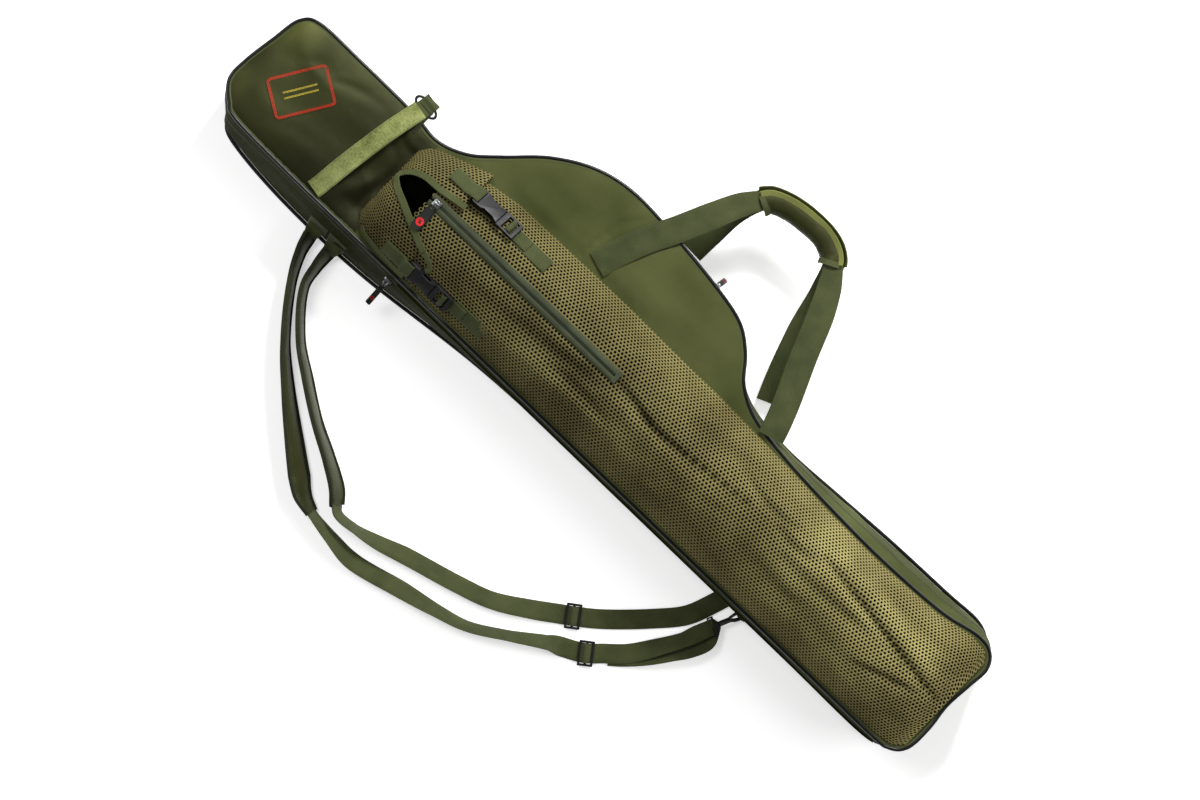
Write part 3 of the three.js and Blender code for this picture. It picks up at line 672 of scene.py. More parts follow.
slab("back_panel_cloth", back, 9, back_top, back_bottom, "pouch_cloth", "case_base",
     stands_for=["back_panel"], slot="canvas")
low_edge = back + (zipline - back) * 0.04
high_edge = back + (zipline - back) * (ZIP_LOW / ZIP_MID)
gusset("base_gusset_cloth", low_edge, high_edge, 5.3, ZIP_LOW - GAP, 3.0, 3.2, "case_base",
       stands_for=["base_gusset"], slot="canvas")
back_cord = lifted(back + sideways(back) * (PIPING_R + GAP), PIPING_R)
rings("back_piping_cord", tube(back_cord, PIPING_R), "piping", "case_base", closed=True,
      stands_for=["back_piping"], slot="piping")


def quilt(p, gap):
    """Foam sewn down in lengthwise channels."""
    channel = np.abs(np.sin(math.pi * (p[:, 1] + 40) / 52)) ** 0.6
    return 8.4 + 2.6 * channel * np.clip(gap / 12, 0, 1) + 0.3 * wave(p, 60, 30, seed=6)


padding = slab("base_padding_lining", back - sideways(back) * 12, 8, quilt,
               lambda p, gap: np.full(len(p), 5.4),
               "lining", "case_base", stands_for=["base_padding"], slot="lining")

# ---------- lid: front panel, gusset, piping ----------
POUCH_SEAM = open_curve([[547, 205, 0], [522, 175, 0], [511, 140, 0], [508, 100, 0]], 60)[:, :2]
HEAD_END = 262


def crease(x, y, line, depth, width):
    """A fold along a line, which fades out at both of its ends."""
    line = open_curve([(*p, 0) for p in line], 24)[:, :2]
    away = np.hypot(x[:, None] - line[:, 0], y[:, None] - line[:, 1])
    near = away.argmin(1)
    ease = np.sin(math.pi * np.clip((near + 1) / 26, 0, 1)) ** 0.5
    return depth * ease * np.exp(-((away.min(1) / width) ** 2))


def neck_dip(p, gap):
    """The panel sinks between the head and the hood."""
    return 11 * np.exp(-((p[:, 0] - 240) / 24) ** 2) * np.clip(gap / 30, 0, 1) ** 1.5


HEAD_FOLDS = [
    ([(20, 40), (60, 28), (110, 34), (160, 46)], 3.0, 12),
    ([(150, 66), (120, 40), (60, 34), (18, 8)], -2.2, 9),
    ([(176, 58), (120, 46), (92, 30)], -2.4, 5),
    ([(8, -40), (50, -52), (90, -48)], 2.6, 14),
    ([(60, -84), (110, -66), (165, -60)], 2.2, 12),
    ([(212, -70), (232, -20), (236, 40)], 3.0, 9),
    ([(205, 66), (232, 46), (262, 52)], 3.2, 6),
    ([(208, 30), (240, 12), (252, -24)], -3.0, 7),
    ([(218, -30), (244, -48), (256, -70)], 2.6, 6),
]


def front_top(p, gap):
    """Puffed cloth: the head swells towards its folds at the neck, the pouch is slack over a seam."""
    x, y = p.T
    near_edge = 1 - np.exp(-gap / 16)
    head = 1 - smoothstep(x, 225, 300)
    height = FRONT - 1.6 + near_edge * (2.2 + 6.5 * head) - neck_dip(p, gap)
    folds = wave(p, 120, 36, seed=2) * 2.2 + wave(p, 34, 60, seed=12) * 1.2
    folds += sum(crease(x, y, *row) for row in HEAD_FOLDS)
    height += near_edge * folds * (0.25 + 0.75 * head)
    neck = wave(p, 18, 70, seed=5) * 2.0 * np.exp(-((x - 236) / 26) ** 2)
    height += near_edge * neck
    pouch = smoothstep(y, 88, 112) * smoothstep(x, 330, 380)
    height += pouch * near_edge * (2.4 + wave(p, 105, 60, seed=9) * 3.6 + wave(p, 40, 30, seed=19) * 0.9)
    seam = np.min(np.linalg.norm(p[:, None] - POUCH_SEAM[None, ::3], axis=2), axis=1)
    return height - 2.8 * np.exp(-((seam / 2.6) ** 2)) * near_edge


def front_bottom(p, gap):
    return LID_PANEL + 0.2 + 0.8 * (1 - np.abs(np.sin(math.pi * p[:, 1] / 52))) - neck_dip(p, gap)


front_cloth = slab("front_panel_cloth", front, 5, front_top, front_bottom, "pouch_cloth", "case_lid",
                   stands_for=["front_panel"], slot="canvas")
front_cloth.data.materials.append(materials["head_cloth"])
front_cloth.data.materials.append(materials["lining"])
for face in front_cloth.data.polygons:
    x_here = face.center.x * 1000 - SHIFT[0]
    face.material_index = 2 if face.normal.z < -0.5 else int(x_here < HEAD_END)
# Painted shade on the head: a shadow in the neck before the hood, darker towards the neck end and the -y
# side; painted highlights at the two corners of the head's end and along its +y edge. The pouch is darkened
# evenly.
head_points = np.array([v.co for v in front_cloth.data.vertices]) * 1000 - SHIFT
hx, hy = head_points[:, 0], head_points[:, 1]
dark = 0.35 * np.exp(-((hx - 244) / 22) ** 2) + 0.42 * smoothstep(hx, 60, 190) + 0.3 * smoothstep(-hy, 10, 80)
dark -= 1.9 * (1 - smoothstep(np.hypot(hx - 8, hy - 52), 8, 62)) + 0.25 * smoothstep(hy, 40, 72)
dark -= 0.7 * (1 - smoothstep(np.hypot(hx + 4, (hy + 60) / 1.3), 8, 34))
shadowed(front_cloth, np.where(hx < HEAD_END, np.clip(dark, -2.2, 0.75), 0.12))
gusset("lid_gusset_cloth", zipline, front, ZIP_HIGH, LID_PANEL - GAP, 1.2, 1.2, "case_lid",
       stands_for=["lid_gusset"], slot="canvas")
front_cord = lifted(front + sideways(front) * (PIPING_R + GAP), LID_PANEL + PIPING_R)
rings("front_piping_cord", tube(front_cord, PIPING_R), "piping", "case_lid", closed=True,
      stands_for=["front_piping"], slot="piping")
flange = [front_cord - UP * PIPING_R * 0.2 + lifted(sideways(front), 0) * d + UP * h
          for d, h in ((-5.2, 1.9), (-0.6, 2.1), (-0.6, 1.3), (-5.2, 0.9))]
rings("front_piping_flange", np.stack(flange, 1), "binding", "case_lid", closed=True)

# ---------- main zip ----------
zip_out = lifted(sideways(zipline), 0)


def zip_tape(name, low, high, body, stands_for):
    """One tape with a sewn edge and a raised line where its teeth are held."""
    ring = []
    for z, out in ((low, 0.2), (low + 1.0, 1.0), (high - 1.2, 0.9), (high, 0.1), (high, -1.2), (low, -1.2)):
        ring.append((lifted(zipline, z) + zip_out * out)[zip_steps])
    length = measured(ring[0])
    uv = np.stack([np.repeat(length, 6), np.tile([0, 1.4, 3.6, 5, 6, 11], len(length))], 1)
    return rings(name, np.stack(ring, 1), "tape", body, uv=uv, stands_for=[stands_for], slot="tape")


zip_tape("zip_tape_base_woven", ZIP_LOW, 74.2, "case_base", "zip_tape_base")
zip_tape("zip_tape_lid_woven", 75.8, ZIP_HIGH - GAP, "case_lid", "zip_tape_lid")
for name, level, body, side in (("base", 74.5, "case_base", 0), ("lid", 75.5, "case_lid", 1)):
    line = (lifted(zipline, level) + zip_out * 0.1)[zip_steps[6:-6]]
    teeth(f"zip_teeth_{name}", line, zip_out[zip_steps[6:-6]], 2.4, (1.3, 2.0, 1.3), "zip_teeth", body, side)
for name, level, body in (("base", 70.9, "case_base"), ("lid", 79.0, "case_lid")):
    line = (lifted(zipline, level) + zip_out * 1.0)[zip_steps]
    stitched(f"zip_tape_{name}_stitches", [(line, zip_out[zip_steps])], body)

hinge_ring = []
for z, out in ((67, 2.4), (71, 1.3), (75, 1.0), (79, 1.1), (83.5, 2.0), (83.5, 1.0), (79, -0.4), (75, -0.5),
               (71, -0.2), (67, 1.4)):
    hinge_ring.append((lifted(zipline, z) + zip_out * out)[hinge_steps])
hinge_cover = rings("hinge_fabric_fold", np.stack(hinge_ring, 1), "gusset_cloth", None,
                    stands_for=["hinge_fabric"], slot="canvas")
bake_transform(hinge_cover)

# ---------- front pocket and hood ----------
DOME_POWER = 2.4
POCKET_BASE = FRONT + GAP
HALF_ARC_SHAPE = (92, 55)
CREASES = [  # folds of the slack mesh: the line, how deep and how wide
    ([(661, 9), (712, 1), (740, -5), (800, -2), (905, 9)], -8.0, 5.5),
    ([(640, -12), (712, -17), (800, -20), (900, -14)], 4.0, 11),
    ([(1040, 31), (1120, 20), (1200, 8), (1284, -5)], -9.0, 5.5),
    ([(1050, 17), (1120, 5), (1200, -8), (1270, -18)], 4.5, 9),
    ([(1060, 44), (1130, 36), (1200, 26), (1270, 12)], 4.0, 10),
    ([(1000, -9), (1090, -8), (1168, -2), (1240, -12)], -5.5, 9),
    ([(1165, -46), (1210, -32), (1262, -16)], -5.0, 6),
    ([(940, -40), (1010, -46), (1100, -48), (1180, -52)], -4.0, 12),
    ([(880, 40), (935, 30), (985, 33)], -5.0, 7),
    ([(955, 20), (990, 12), (1030, 16)], -4.5, 8),
    ([(430, -35), (520, -28), (610, -18), (650, -14)], -5.0, 10),
    ([(480, -62), (560, -55), (680, -52), (760, -60)], 3.5, 12),
    ([(590, -38), (640, -40), (700, -46)], -4.5, 8),
    ([(1120, 58), (1180, 52), (1250, 55)], -3.0, 9),
    ([(760, 40), (850, 52), (930, 55)], -3.0, 12),
]


def table(*rows):
    x, v = np.array(rows, float).T
    return lambda at: np.interp(at, x, v)


pocket = {
    "rise": table((300, 42), (670, 57), (950, 55), (1150, 45), (1240, 32), (1280, 15), (1294, 4)),
    "low": table((300, -93), (380, -96.5), (1250, -96.5), (1284, -92.5), (1299, -78)),
    "high": table((300, 72), (350, 82), (400, 90), (600, 93), (800, 90),
                  (925, 85.5), (1000, 80.5), (1100, 78.5),
                  (1205, 83.5), (1262, 94.5), (1288, 91.5), (1300, 77)),
    "span": (304, 1299),
}
hood = {
    "rise": table((246, 4), (256, 22), (272, 36), (300, 46), (350, 48.5)),
    "low": table((246, -68), (256, -84), (272, -94), (300, -97), (350, -99)),
    "high": table((246, 46), (256, 60), (272, 69), (300, 79), (350, 96)),
    "span": (246, 346),
}


def surface(dome, x, y):
    middle = (dome["low"](x) + dome["high"](x)) / 2
    half = (dome["high"](x) - dome["low"](x)) / 2
    across = np.minimum(np.abs((y - middle) / half), 1)
    return POCKET_BASE + dome["rise"](x) * (1 - across**DOME_POWER)


def dome_normal(dome, x, y, nudge):
    """The dome's unit normals, from its slopes over a nudge to either side."""
    slope_x = (surface(dome, x + nudge, y) - surface(dome, x - nudge, y)) / (2 * nudge)
    slope_y = (surface(dome, x, y + nudge) - surface(dome, x, y - nudge)) / (2 * nudge)
    return unit(np.stack([-slope_x, -slope_y, np.ones_like(x)], 1))


def by_length(low, high, run):
    """Turns a length along a curve into the place where it is reached; run gives the curve's speed."""
    at = np.linspace(low, high, 2000)
    length = np.concatenate([[0], np.cumsum((run(at[1:]) + run(at[:-1])) / 2 * np.diff(at))])
    return length[-1], lambda s: np.interp(s, length, at)


HALF_ARC, share_at = by_length(
    0, 1, lambda s: np.hypot(HALF_ARC_SHAPE[0], HALF_ARC_SHAPE[1] * DOME_POWER * s ** (DOME_POWER - 1))
)
for dome in (pocket, hood):
    rise = dome["rise"]
    dome["length"], dome["x_at"] = by_length(*dome["span"],
                                             lambda x: np.hypot(1, rise(x + 0.5) - rise(x - 0.5)))


def pocket_folds(x, s, y):
    """How far the slack mesh stands off its dome: long soft folds, and deeper creases towards the tail."""
    p = np.stack([x - 1.1 * y, y + 0.25 * x], 1)
    folds = 3.6 * wave(p, 190, 46, seed=1) + 2.0 * wave(p, 75, 30, seed=7) + 0.9 * wave(p, 30, 20, seed=3)
    folds += sum(crease(x, y, *row) for row in CREASES)
    calm = 1 - 0.85 * np.exp(-(((y - 10) / 13) ** 2)) * (1 - smoothstep(x, 650, 690))
    return (1 - np.abs(s) ** 6) * (1 - smoothstep(x, 1280, 1298)) * folds * calm


def hood_folds(x, s, y):
    p = np.stack([x, s * 110], 1)
    return (1 - np.abs(s) ** 4) * (2.2 * wave(p, 45, 26, seed=21) + 1.0 * wave(p, 18, 14, seed=22))


def dome_point(dome, folds, run, across, drop=0.0):
    """Points on a dome, drop mm inside it, from lengths along it and across it."""
    x = dome["x_at"](run)
    s = np.sign(across) * share_at(np.abs(across))
    low, high = dome["low"](x), dome["high"](x)
    y = (low + high) / 2 + s * (high - low) / 2
    z = POCKET_BASE + dome["rise"](x) * (1 - np.abs(s) ** DOME_POWER)
    normal = dome_normal(dome, x, y, 0.6)
    made = np.stack([x, y, z], 1) + normal * (folds(x, s, y) - drop)[:, None]
    made[:, 2] = np.maximum(made[:, 2], POCKET_BASE + 0.1 * (1 - drop / 3))
    return made, normal


PITCH = 5.8
HOLE = 2.05
YARN = 0.9


def mesh_cloth(name, dome, folds, keep, stands_for=()):
    """Warp-knit mesh: hexagonal cells, each with a hole, as one closed sheet of yarn thickness."""
    row_step = PITCH * math.sqrt(3) / 2
    columns = int(dome["length"] / PITCH)
    rows = int(HALF_ARC / row_step)
    cells = [(2 * i + (j & 1), 3 * j) for j in range(-rows, rows + 1) for i in range(columns)]
    flat = np.array(cells, float) * (PITCH / 2, row_step / 3) + (PITCH / 2, 0)
    middle, _ = dome_point(dome, folds, *flat.T)
    kept = [c for c, ok in zip(cells, keep(middle[:, 0], middle[:, 1])) if ok]
    ring = ((1, 1), (0, 2), (-1, 1), (-1, -1), (0, -2), (1, -1))
    corner, flat, level, faces, once = {}, [], [], [], {}

    def at(key, height):
        if (key, height) not in corner:
            corner[key, height] = len(flat)
            flat.append(key)
            level.append(height)
        return corner[key, height]

    for cx, cy in kept:
        hole = []
        for height in (0.2, YARN):
            hole.append(range(len(flat), len(flat) + 6))
            share = HOLE / (PITCH / math.sqrt(3))
            flat += [(cx + a * share, cy + b * share) for a, b in ring]
            level += [height] * 6
        for k in range(6):
            k2 = (k + 1) % 6
            a, b = (cx + ring[k][0], cy + ring[k][1]), (cx + ring[k2][0], cy + ring[k2][1])
            faces.append((at(a, 0.0), at(b, 0.0), hole[0][k2], hole[0][k]))
            faces.append((hole[0][k], hole[0][k2], hole[1][k2], hole[1][k]))
            faces.append((hole[1][k], hole[1][k2], at(b, YARN), at(a, YARN)))
            edge = frozenset((a, b))
            once[edge] = None if edge in once else (a, b)
    for pair in once.values():
        if pair:
            a, b = pair
            faces.append((at(a, 0.0), at(b, 0.0), at(b, YARN), at(a, YARN)))
    flat = np.array(flat, float) * (PITCH / 2, row_step / 3) + (PITCH / 2, 0)
    points, _ = dome_point(dome, folds, flat[:, 0], flat[:, 1], np.array(level))
    piece = make(name, points, faces, "mesh_yarn", "case_lid", stands_for=stands_for, slot="mesh", sharp=180)
    x, y = points[:, 0], points[:, 1]
    # Painted shade in the creases and a painted highlight on the ridges, darker towards the hood end and the
    # -y side and lighter towards the tail, with a little random tone.
    deep = sum(crease(x, y, *row) for row in CREASES) if dome is pocket else np.zeros(len(x))
    shadow = np.clip(-deep / 11, -0.25, 0.7) + 0.34 - 0.6 * smoothstep(x, 250, 1200)
    shadow += 0.14 * smoothstep(-y, -30, 80) + 0.1 * wave(points, 120, 34, seed=1)
    shadowed(piece, np.clip(shadow, -0.4, 0.8))
    return piece


def backing(name, dome, folds, keep, drop, material="pocket_shade_black"):
    """A near-black sheet just behind the mesh, painted shade for the shadowed inside of the pocket: closed,
    with the cells that keep refuses left out.
    """
    run = np.linspace(1, dome["length"] - 1, int(dome["length"] / 5))
    across = np.linspace(-HALF_ARC + 0.5, HALF_ARC - 0.5, 47)
    r, a = (v.ravel() for v in np.meshgrid(run, across, indexing="ij"))
    outer, _ = dome_point(dome, folds, r, a, np.full(len(r), drop))
    inner, _ = dome_point(dome, folds, r, a, np.full(len(r), drop + 0.9))
    quads = grid(len(run), len(across))
    middle = np.array([outer[list(q)].mean(0) for q in quads])
    quads = [q for q, ok in zip(quads, keep(middle[:, 0], middle[:, 1])) if ok]
    edges = {}
    for q in quads:
        for i in range(4):
            edges.setdefault(frozenset((q[i], q[(i + 1) % 4])), []).append((q[i], q[(i + 1) % 4]))
    n = len(outer)
    rim = [(e[0][0], e[0][1], n + e[0][1], n + e[0][0]) for e in edges.values() if len(e) == 1]
    faces = quads + [tuple(n + i for i in reversed(q)) for q in quads] + rim
    used = sorted({i for f in faces for i in f})
    index = {old: new for new, old in enumerate(used)}
    faces = [tuple(index[i] for i in f) for f in faces]
    return make(name, np.vstack([outer, inner])[used], faces, material, "case_lid")


ZIP_Y = 10
ZIP_SPAN = (306, 662)
NOTCH = np.array([[350, -50], [328, -41], [292, -24], [258, -8], [250, 2], [258, 16], [276, 25], [304, 28],
                  [350, 34]], float)
notch_line = open_curve(np.column_stack([NOTCH, np.zeros(len(NOTCH))]), 120)[:, :2]
notch_outline = np.vstack([notch_line, [[420, 34], [420, -50]]])


def beside_zip(x, y):
    return ~((np.abs(y - ZIP_Y) < 5.5) & (x < ZIP_SPAN[1] - 6))


def off_notch(x, y):
    return ~inside(np.stack([x, y], 1), notch_outline)


SPLIT = 760
mesh_cloth("mesh_pocket_front", pocket, pocket_folds, lambda x, y: beside_zip(x, y) & (x < SPLIT),
           stands_for=["mesh_pocket"])
mesh_cloth("mesh_pocket_tail", pocket, pocket_folds, lambda x, y: x >= SPLIT)
mesh_cloth("pocket_hood_mesh", hood, hood_folds, off_notch, stands_for=["pocket_hood"])
# Painted shade: near-black sheets just behind the pocket and hood mesh, for the shadowed inside of the
# pocket.
backing("mesh_pocket_backing", pocket, pocket_folds, beside_zip, YARN + 1.3)
backing("pocket_hood_backing", hood, hood_folds, off_notch, YARN + 1.3)


def on_dome(dome, folds, xy, lift=0.0):
    """Points of a flat line raised onto a dome, and the normals there."""
    xy = np.asarray(xy, float)
    x, y = xy.T
    low, high = dome["low"](x), dome["high"](x)
    s = np.clip((y - (low + high) / 2) / ((high - low) / 2), -1, 1)
    z = surface(dome, x, y)
    normal = dome_normal(dome, x, y, 1)
    return np.column_stack([xy, z]) + normal * (folds(x, s, y) + lift)[:, None], normal


def band(name, line, normal, width, thickness, material, body, stitch=True, **more):
    """A thin strip of cloth lying along a line on a surface, with its own stitches."""
    along = unit(np.gradient(line, axis=0))
    side = unit(np.cross(normal, along))
    shape = ((-1, 0), (-0.92, 1), (0, 1.15), (0.92, 1), (1, 0), (0.5, -0.4), (-0.5, -0.4))
    ring = [line + side * a * width / 2 + normal * b * thickness for a, b in shape]
    length = measured(line)
    uv = np.stack([np.repeat(length, 7), np.tile([a * width / 2 for a, _ in shape], len(length))], 1)
    rings(name, np.stack(ring, 1), material, body, uv=uv, **more)
    if stitch:
        rows = [(line + side * a * width * 0.34 + normal * thickness, normal) for a in (-1, 1)]
        stitched(name + "_stitches", rows, body)


# A near-black sheet on the panel under the hood's notch: painted shade for the shadowed mouth of the pocket.
THROAT = np.array([[256, -58], [252, 38], [272, 58], [330, 66], [330, -78], [276, -76]], float)
throat_line = closed_curve(THROAT, 60)


def throat_top(p, gap):
    return front_top(p, distance(p, front)) + 1.2


slab("pocket_mouth_shade_sheet", throat_line, 9, throat_top, lambda p, gap: throat_top(p, gap) - 0.8,
     "pocket_shade_black", "case_lid")

band("hood_binding", *on_dome(hood, hood_folds, notch_line, 0.3), 10, 1.0, "binding", "case_lid")
curl = open_curve([(348, -49, 0), (362, -53, 0), (372, -62, 0), (366, -72, 0)], 24)[:, :2]
band("hood_binding_tail", *on_dome(pocket, pocket_folds, curl, 1.4), 8, 1.0, "binding", "case_lid", False)
edge_run = np.linspace(262, 352, 40)
edge_line = np.column_stack([edge_run, hood["low"](edge_run) + 5])
band("hood_edge_binding", *on_dome(hood, hood_folds, edge_line, 0.6), 8, 1.0, "binding", "case_lid", False)

# ---------- pocket zip ----------
def crown(x):
    return surface(pocket, x, ZIP_Y)


zip_x = np.linspace(*ZIP_SPAN, 90)
zip_centre = np.column_stack([zip_x, np.full(90, ZIP_Y), crown(zip_x) + 1.6])
zip_up = unit(np.gradient(zip_centre, axis=0))
zip_up = unit(np.cross(zip_up, np.cross(UP, zip_up)))
for side, share in (("right", 1), ("left", -1)):
    line = zip_centre + np.array([0, share * 5.4, 0])
    ring = [line + np.array([0, a * share, 0]) + UP * b
            for a, b in ((-4.2, 0.5), (-3.2, 1.5), (-1.5, 1.9), (1.2, 1.5),
                         (3.9, 0.2), (4.6, -1.0), (3.9, -1.6), (-4.2, -0.6))]
    length = zip_x - zip_x[0]
    uv = np.stack([np.repeat(length, 8), np.tile([0, 1, 3, 6, 9, 10, 11, 20], 90)], 1)
    rings(f"pocket_zip_tape_{side}", np.stack(ring, 1), "tape", "case_lid", uv=uv,
          stands_for=["pocket_zip"] if share > 0 else (), slot="tape")
    stitched(f"pocket_zip_{side}_stitches",
             [(line + np.array([0, share * 2.3, 0]) + UP * 1.1, np.tile(UP, (90, 1)))], "case_lid")
    teeth(f"pocket_zip_teeth_{side}", zip_centre[2:-1] + np.array([0, share * 0.8, 0]) + UP * 0.35,
          np.tile(UP, (87, 1)), 2.4, (1.3, 2.6, 1.3), "zip_teeth", "case_lid", 0 if share > 0 else 1)
stop = np.array([[ZIP_SPAN[1] - 2.0, ZIP_Y + y, crown(ZIP_SPAN[1]) + 2.7] for y in np.linspace(-9, 9, 20)])
band("pocket_zip_end", stop, np.tile(UP, (20, 1)), 7, 1.1, "tape", "case_lid")

# ---------- rod strap on the head ----------
STRAP_LEVEL = FRONT + GAP + 1.5
STRAP_ROWS = [
    (179, -93, STRAP_LEVEL, 27), (181, -82, STRAP_LEVEL + 2, 27), (186, -45, 125, 27), (193, 0, 131, 27),
    (200, 42, 128, 27), (206, 72, 119, 27), (209, 88, 113, 27),
]
RING_LEVEL = 107
PILE_COLUMNS = 20


def plush(name, rows, thickness, steps, **more):
    """The velour strap: a thick pile that rounds over its edges, with small dents."""
    here, wide, thick, width = strap_axes(rows, steps)
    turn = np.linspace(0, 2 * math.pi, PILE_COLUMNS, endpoint=False)
    flat = np.sign(np.cos(turn)) * np.abs(np.cos(turn)) ** 0.35
    tall = np.sign(np.sin(turn)) * np.abs(np.sin(turn)) ** 0.7
    ring = (here[:, None] + wide[:, None] * (width[:, None] / 2 * flat)[:, :, None]
            + thick[:, None] * (thickness / 2 * tall)[None, :, None])
    points = ring.reshape(-1, 3)
    dents = 0.5 * wave(points, 9, 9, 9, seed=31) + 0.7 * wave(points, 30, 22, 30, seed=32)
    points = points + np.repeat(thick, PILE_COLUMNS, 0) * dents[:, None]
    return rings(name, points.reshape(ring.shape), "velour", "case_lid", **more)


plush("rod_strap_velour", STRAP_ROWS, 3.6, 90, stands_for=["rod_strap"], slot="velour")
under = [(x + 1.5, y, z - 3.4, 25) for x, y, z, _ in STRAP_ROWS[1:]]
plush("rod_strap_under_ply", under, 2.4, 60)
here, wide, thick, width = strap_axes(STRAP_ROWS, 90)
stitched("rod_strap_stitches", [(here + wide * side * 11.6 + thick * 2.0, thick) for side in (-1, 1)],
         "case_lid", radius=0.4)
ribbon("rod_strap_end", [(209, 84, 113.4, 25), (211, 92, 110.2, 25), (212.4, 99, 109.6, 25),
                         (213.2, 104.5, 110.9, 25),
                         (213.4, 108.6, 107.5, 25), (212.8, 103, 103.6, 25), (212, 95, 103.2, 25)],
       2.0, "webbing", "case_lid", 40, wobble=0.1, seams=(-0.8, 0.8))
ribbon("rod_strap_tab_webbing",
       [(213, 58, FRONT + 1.9, 25), (213, 78, FRONT + 1.9, 25), (213, 86, RING_LEVEL + 1.5, 25),
        (213, 90.5, RING_LEVEL + 2.4, 25), (213.4, 95.4, RING_LEVEL + 2.8, 24),
        (213.6, 97.5, RING_LEVEL - 2.9, 24),
        (213, 89, RING_LEVEL - 3.2, 24)],
       WEBBING, "webbing_dark", "case_lid", 30, stands_for=["rod_strap_tab"], slot="webbing", wobble=0.1)

# ---------- carry handle ----------
FOLDED = 24  # the webbing's width where it is folded inside the grip
SEWN = FRONT + GAP + WEBBING / 2 + 0.2
FRONT_HANDLE = [
    (533, 103, SEWN, 38), (541, 130, SEWN, 38), (556, 170, SEWN + 1, 38), (579, 216, SEWN + 2, 38),
    (600, 262, 107, 38), (620, 304, 98, 34), (643, 334, 92, 24), (668, 346, 90, 24), (700, 351, 89.5, 24),
    (735, 350, 90, 24), (760, 338, 92, 24), (784, 306, 98, 34), (803, 268, 106, 38), (826, 210, 111, 38),
    (854, 145, 112.5, 38), (866, 112, SEWN + 1, 38), (870, 98, SEWN, 38),
]
REAR_HANDLE = [
    (612, 210, 16, 38), (614, 248, 36, 38), (621, 298, 62, 34), (643, 334, 79, 24), (668, 346, 79, 24),
    (700, 351, 79, 24), (735, 350, 79, 24), (760, 338, 80, 24), (781, 300, 64, 34), (800, 235, 40, 38),
    (822, 172, 22, 38), (838, 133, 15, 38),
]
raised = [(x, y, z + (2.6 if k in (0, 1, 2, 15, 16) else 0), w)
          for k, (x, y, z, w) in enumerate(FRONT_HANDLE)]
ribbon("front_handle_webbing", raised, 2.0, "webbing", "case_lid", 160, wobble=0.9,
       stands_for=["front_handle"], slot="webbing", seams=(-0.8, 0.8))
ribbon("rear_handle_webbing", REAR_HANDLE, 2.0, "webbing", "case_base", 130, wobble=0.9,
       stands_for=["rear_handle"], slot="webbing", seams=(-0.8, 0.8))


def grip():
    """The hand grip: a padded wrap, closed away from the back, with bound edges and a hook-and-loop lap."""
    rows = [r for r in FRONT_HANDLE if r[3] == FOLDED]
    rows = [(rows[0][0] - 5, rows[0][1] - 9, rows[0][2] + 1, FOLDED)] + rows
    rows += [(rows[-1][0] + 5, rows[-1][1] - 9, rows[-1][2] + 1, FOLDED)]
    here, wide, thick, _ = strap_axes(rows, 70)
    level = unit(np.cross(np.gradient(here, axis=0), UP))
    outline = []
    for k in range(25):
        turn = math.pi * (k / 24 * 1.24 - 0.12)
        outline.append((math.cos(turn) * 17.5, -9.5 + math.sin(turn) * 15.5))
    outline = [(-17.6, -20)] + [(a, b) for a, b in reversed(outline) if b > -16] + [(17.6, -20)]
    outline = np.array(outline)
    middle = np.array([0, -9])
    inner = middle + (outline - middle) * 0.86
    inner[[0, -1], 1] = outline[[0, -1], 1]
    shape = np.vstack([outline, inner[::-1]])
    swell = 1 + 0.05 * np.sin(np.linspace(0, math.pi, len(here)))
    ring = (here[:, None] + level[:, None] * (shape[:, 0] * swell[:, None])[:, :, None]
            + UP * shape[None, :, 1:])
    points = ring.reshape(-1, 3)
    folds = 0.9 * wave(points, 16, 40, 30, seed=41) + 0.5 * wave(points, 9, 9, 9, seed=42)
    out = unit(points - np.repeat(here + UP * -9, len(shape), 0))
    points = points + out * folds[:, None]
    rings("handle_grip_wrap", points.reshape(ring.shape), "head_cloth", "case_lid",
          stands_for=["handle_grip"], slot="canvas")
    for end, k in (("head", 1), ("tail", -2)):
        loop = points.reshape(ring.shape)[k, : len(outline)]
        outward = unit(loop - (here[k] + UP * -9))
        band(f"handle_grip_binding_{end}", loop + outward * 0.2, outward, 8, 1.0, "binding", "case_lid")
    share = np.linspace(-1, 1, len(here))[:, None]
    lip = here - level * (15 + 5 * share**2) + UP * 3.4
    groove = here - level * (9 + 3 * share**2) + UP * 5.4
    for part, line, size, turn, look in (("lining", groove, 9, -26, "lining_pale"),
                                         ("flap", lip, 10, -62, "pouch_cloth")):
        rows = [(*p, size, turn) for p in line[1:-1:6]]
        ribbon(f"handle_grip_{part}", rows, 1.8, look, "case_lid", 60, wobble=1.0)
    lap = points.reshape(ring.shape)[2:-2, len(outline) // 2 + 5]
    lap_out = unit(lap - (here[2:-2] + UP * -9))
    stitched("handle_grip_lap_stitches", [(lap + lap_out * 0.3, lap_out)], "case_lid")


grip()

# ---------- shoulder straps ----------
PAD = 7
PAD_ROWS = 111
PAD_COLUMNS = 18
CLOTH_STEPS = 20
CLOTH_PRESSURE = 20
PAD_INNER = [
    (249, -140, 28, 55, 8), (251, -168, 33, 72, 2), (258, -200, 38, 80), (304, -256, 38, 80),
    (352, -291, 38, 75), (400, -323, 38, 75), (450, -350, 38, 70), (487, -373, 34, 60), (503, -390, 26, 50),
]
PAD_OUTER = [
    (213, -140, 28, 55, 8), (221, -170, 33, 72, 2), (240, -207, 38, 80), (292, -274, 38, 80),
    (343, -321, 38, 70), (398, -366, 38, 55), (436, -396, 38, 45), (458, -412, 34, 50), (484, -421, 26, 60),
]
WEB_INNER = [
    (487, -374, 24, 58), (500, -387, 25, 58), (512, -397, 26, 62), (545, -395, 28, 65),
    (580, -387, 28, 45), (620, -374, 28, 30), (700, -352, 28, 30),
    (750, -335, 28, 30), (800, -305, 28, 15), (832, -283, 28, 0), (848, -272, 28, 0), (880, -247, 28, 0),
    (930, -198, 28, 0), (962, -160, 28, 0), (978, -120, 28, 0), (985, -98, 28, 0),
]
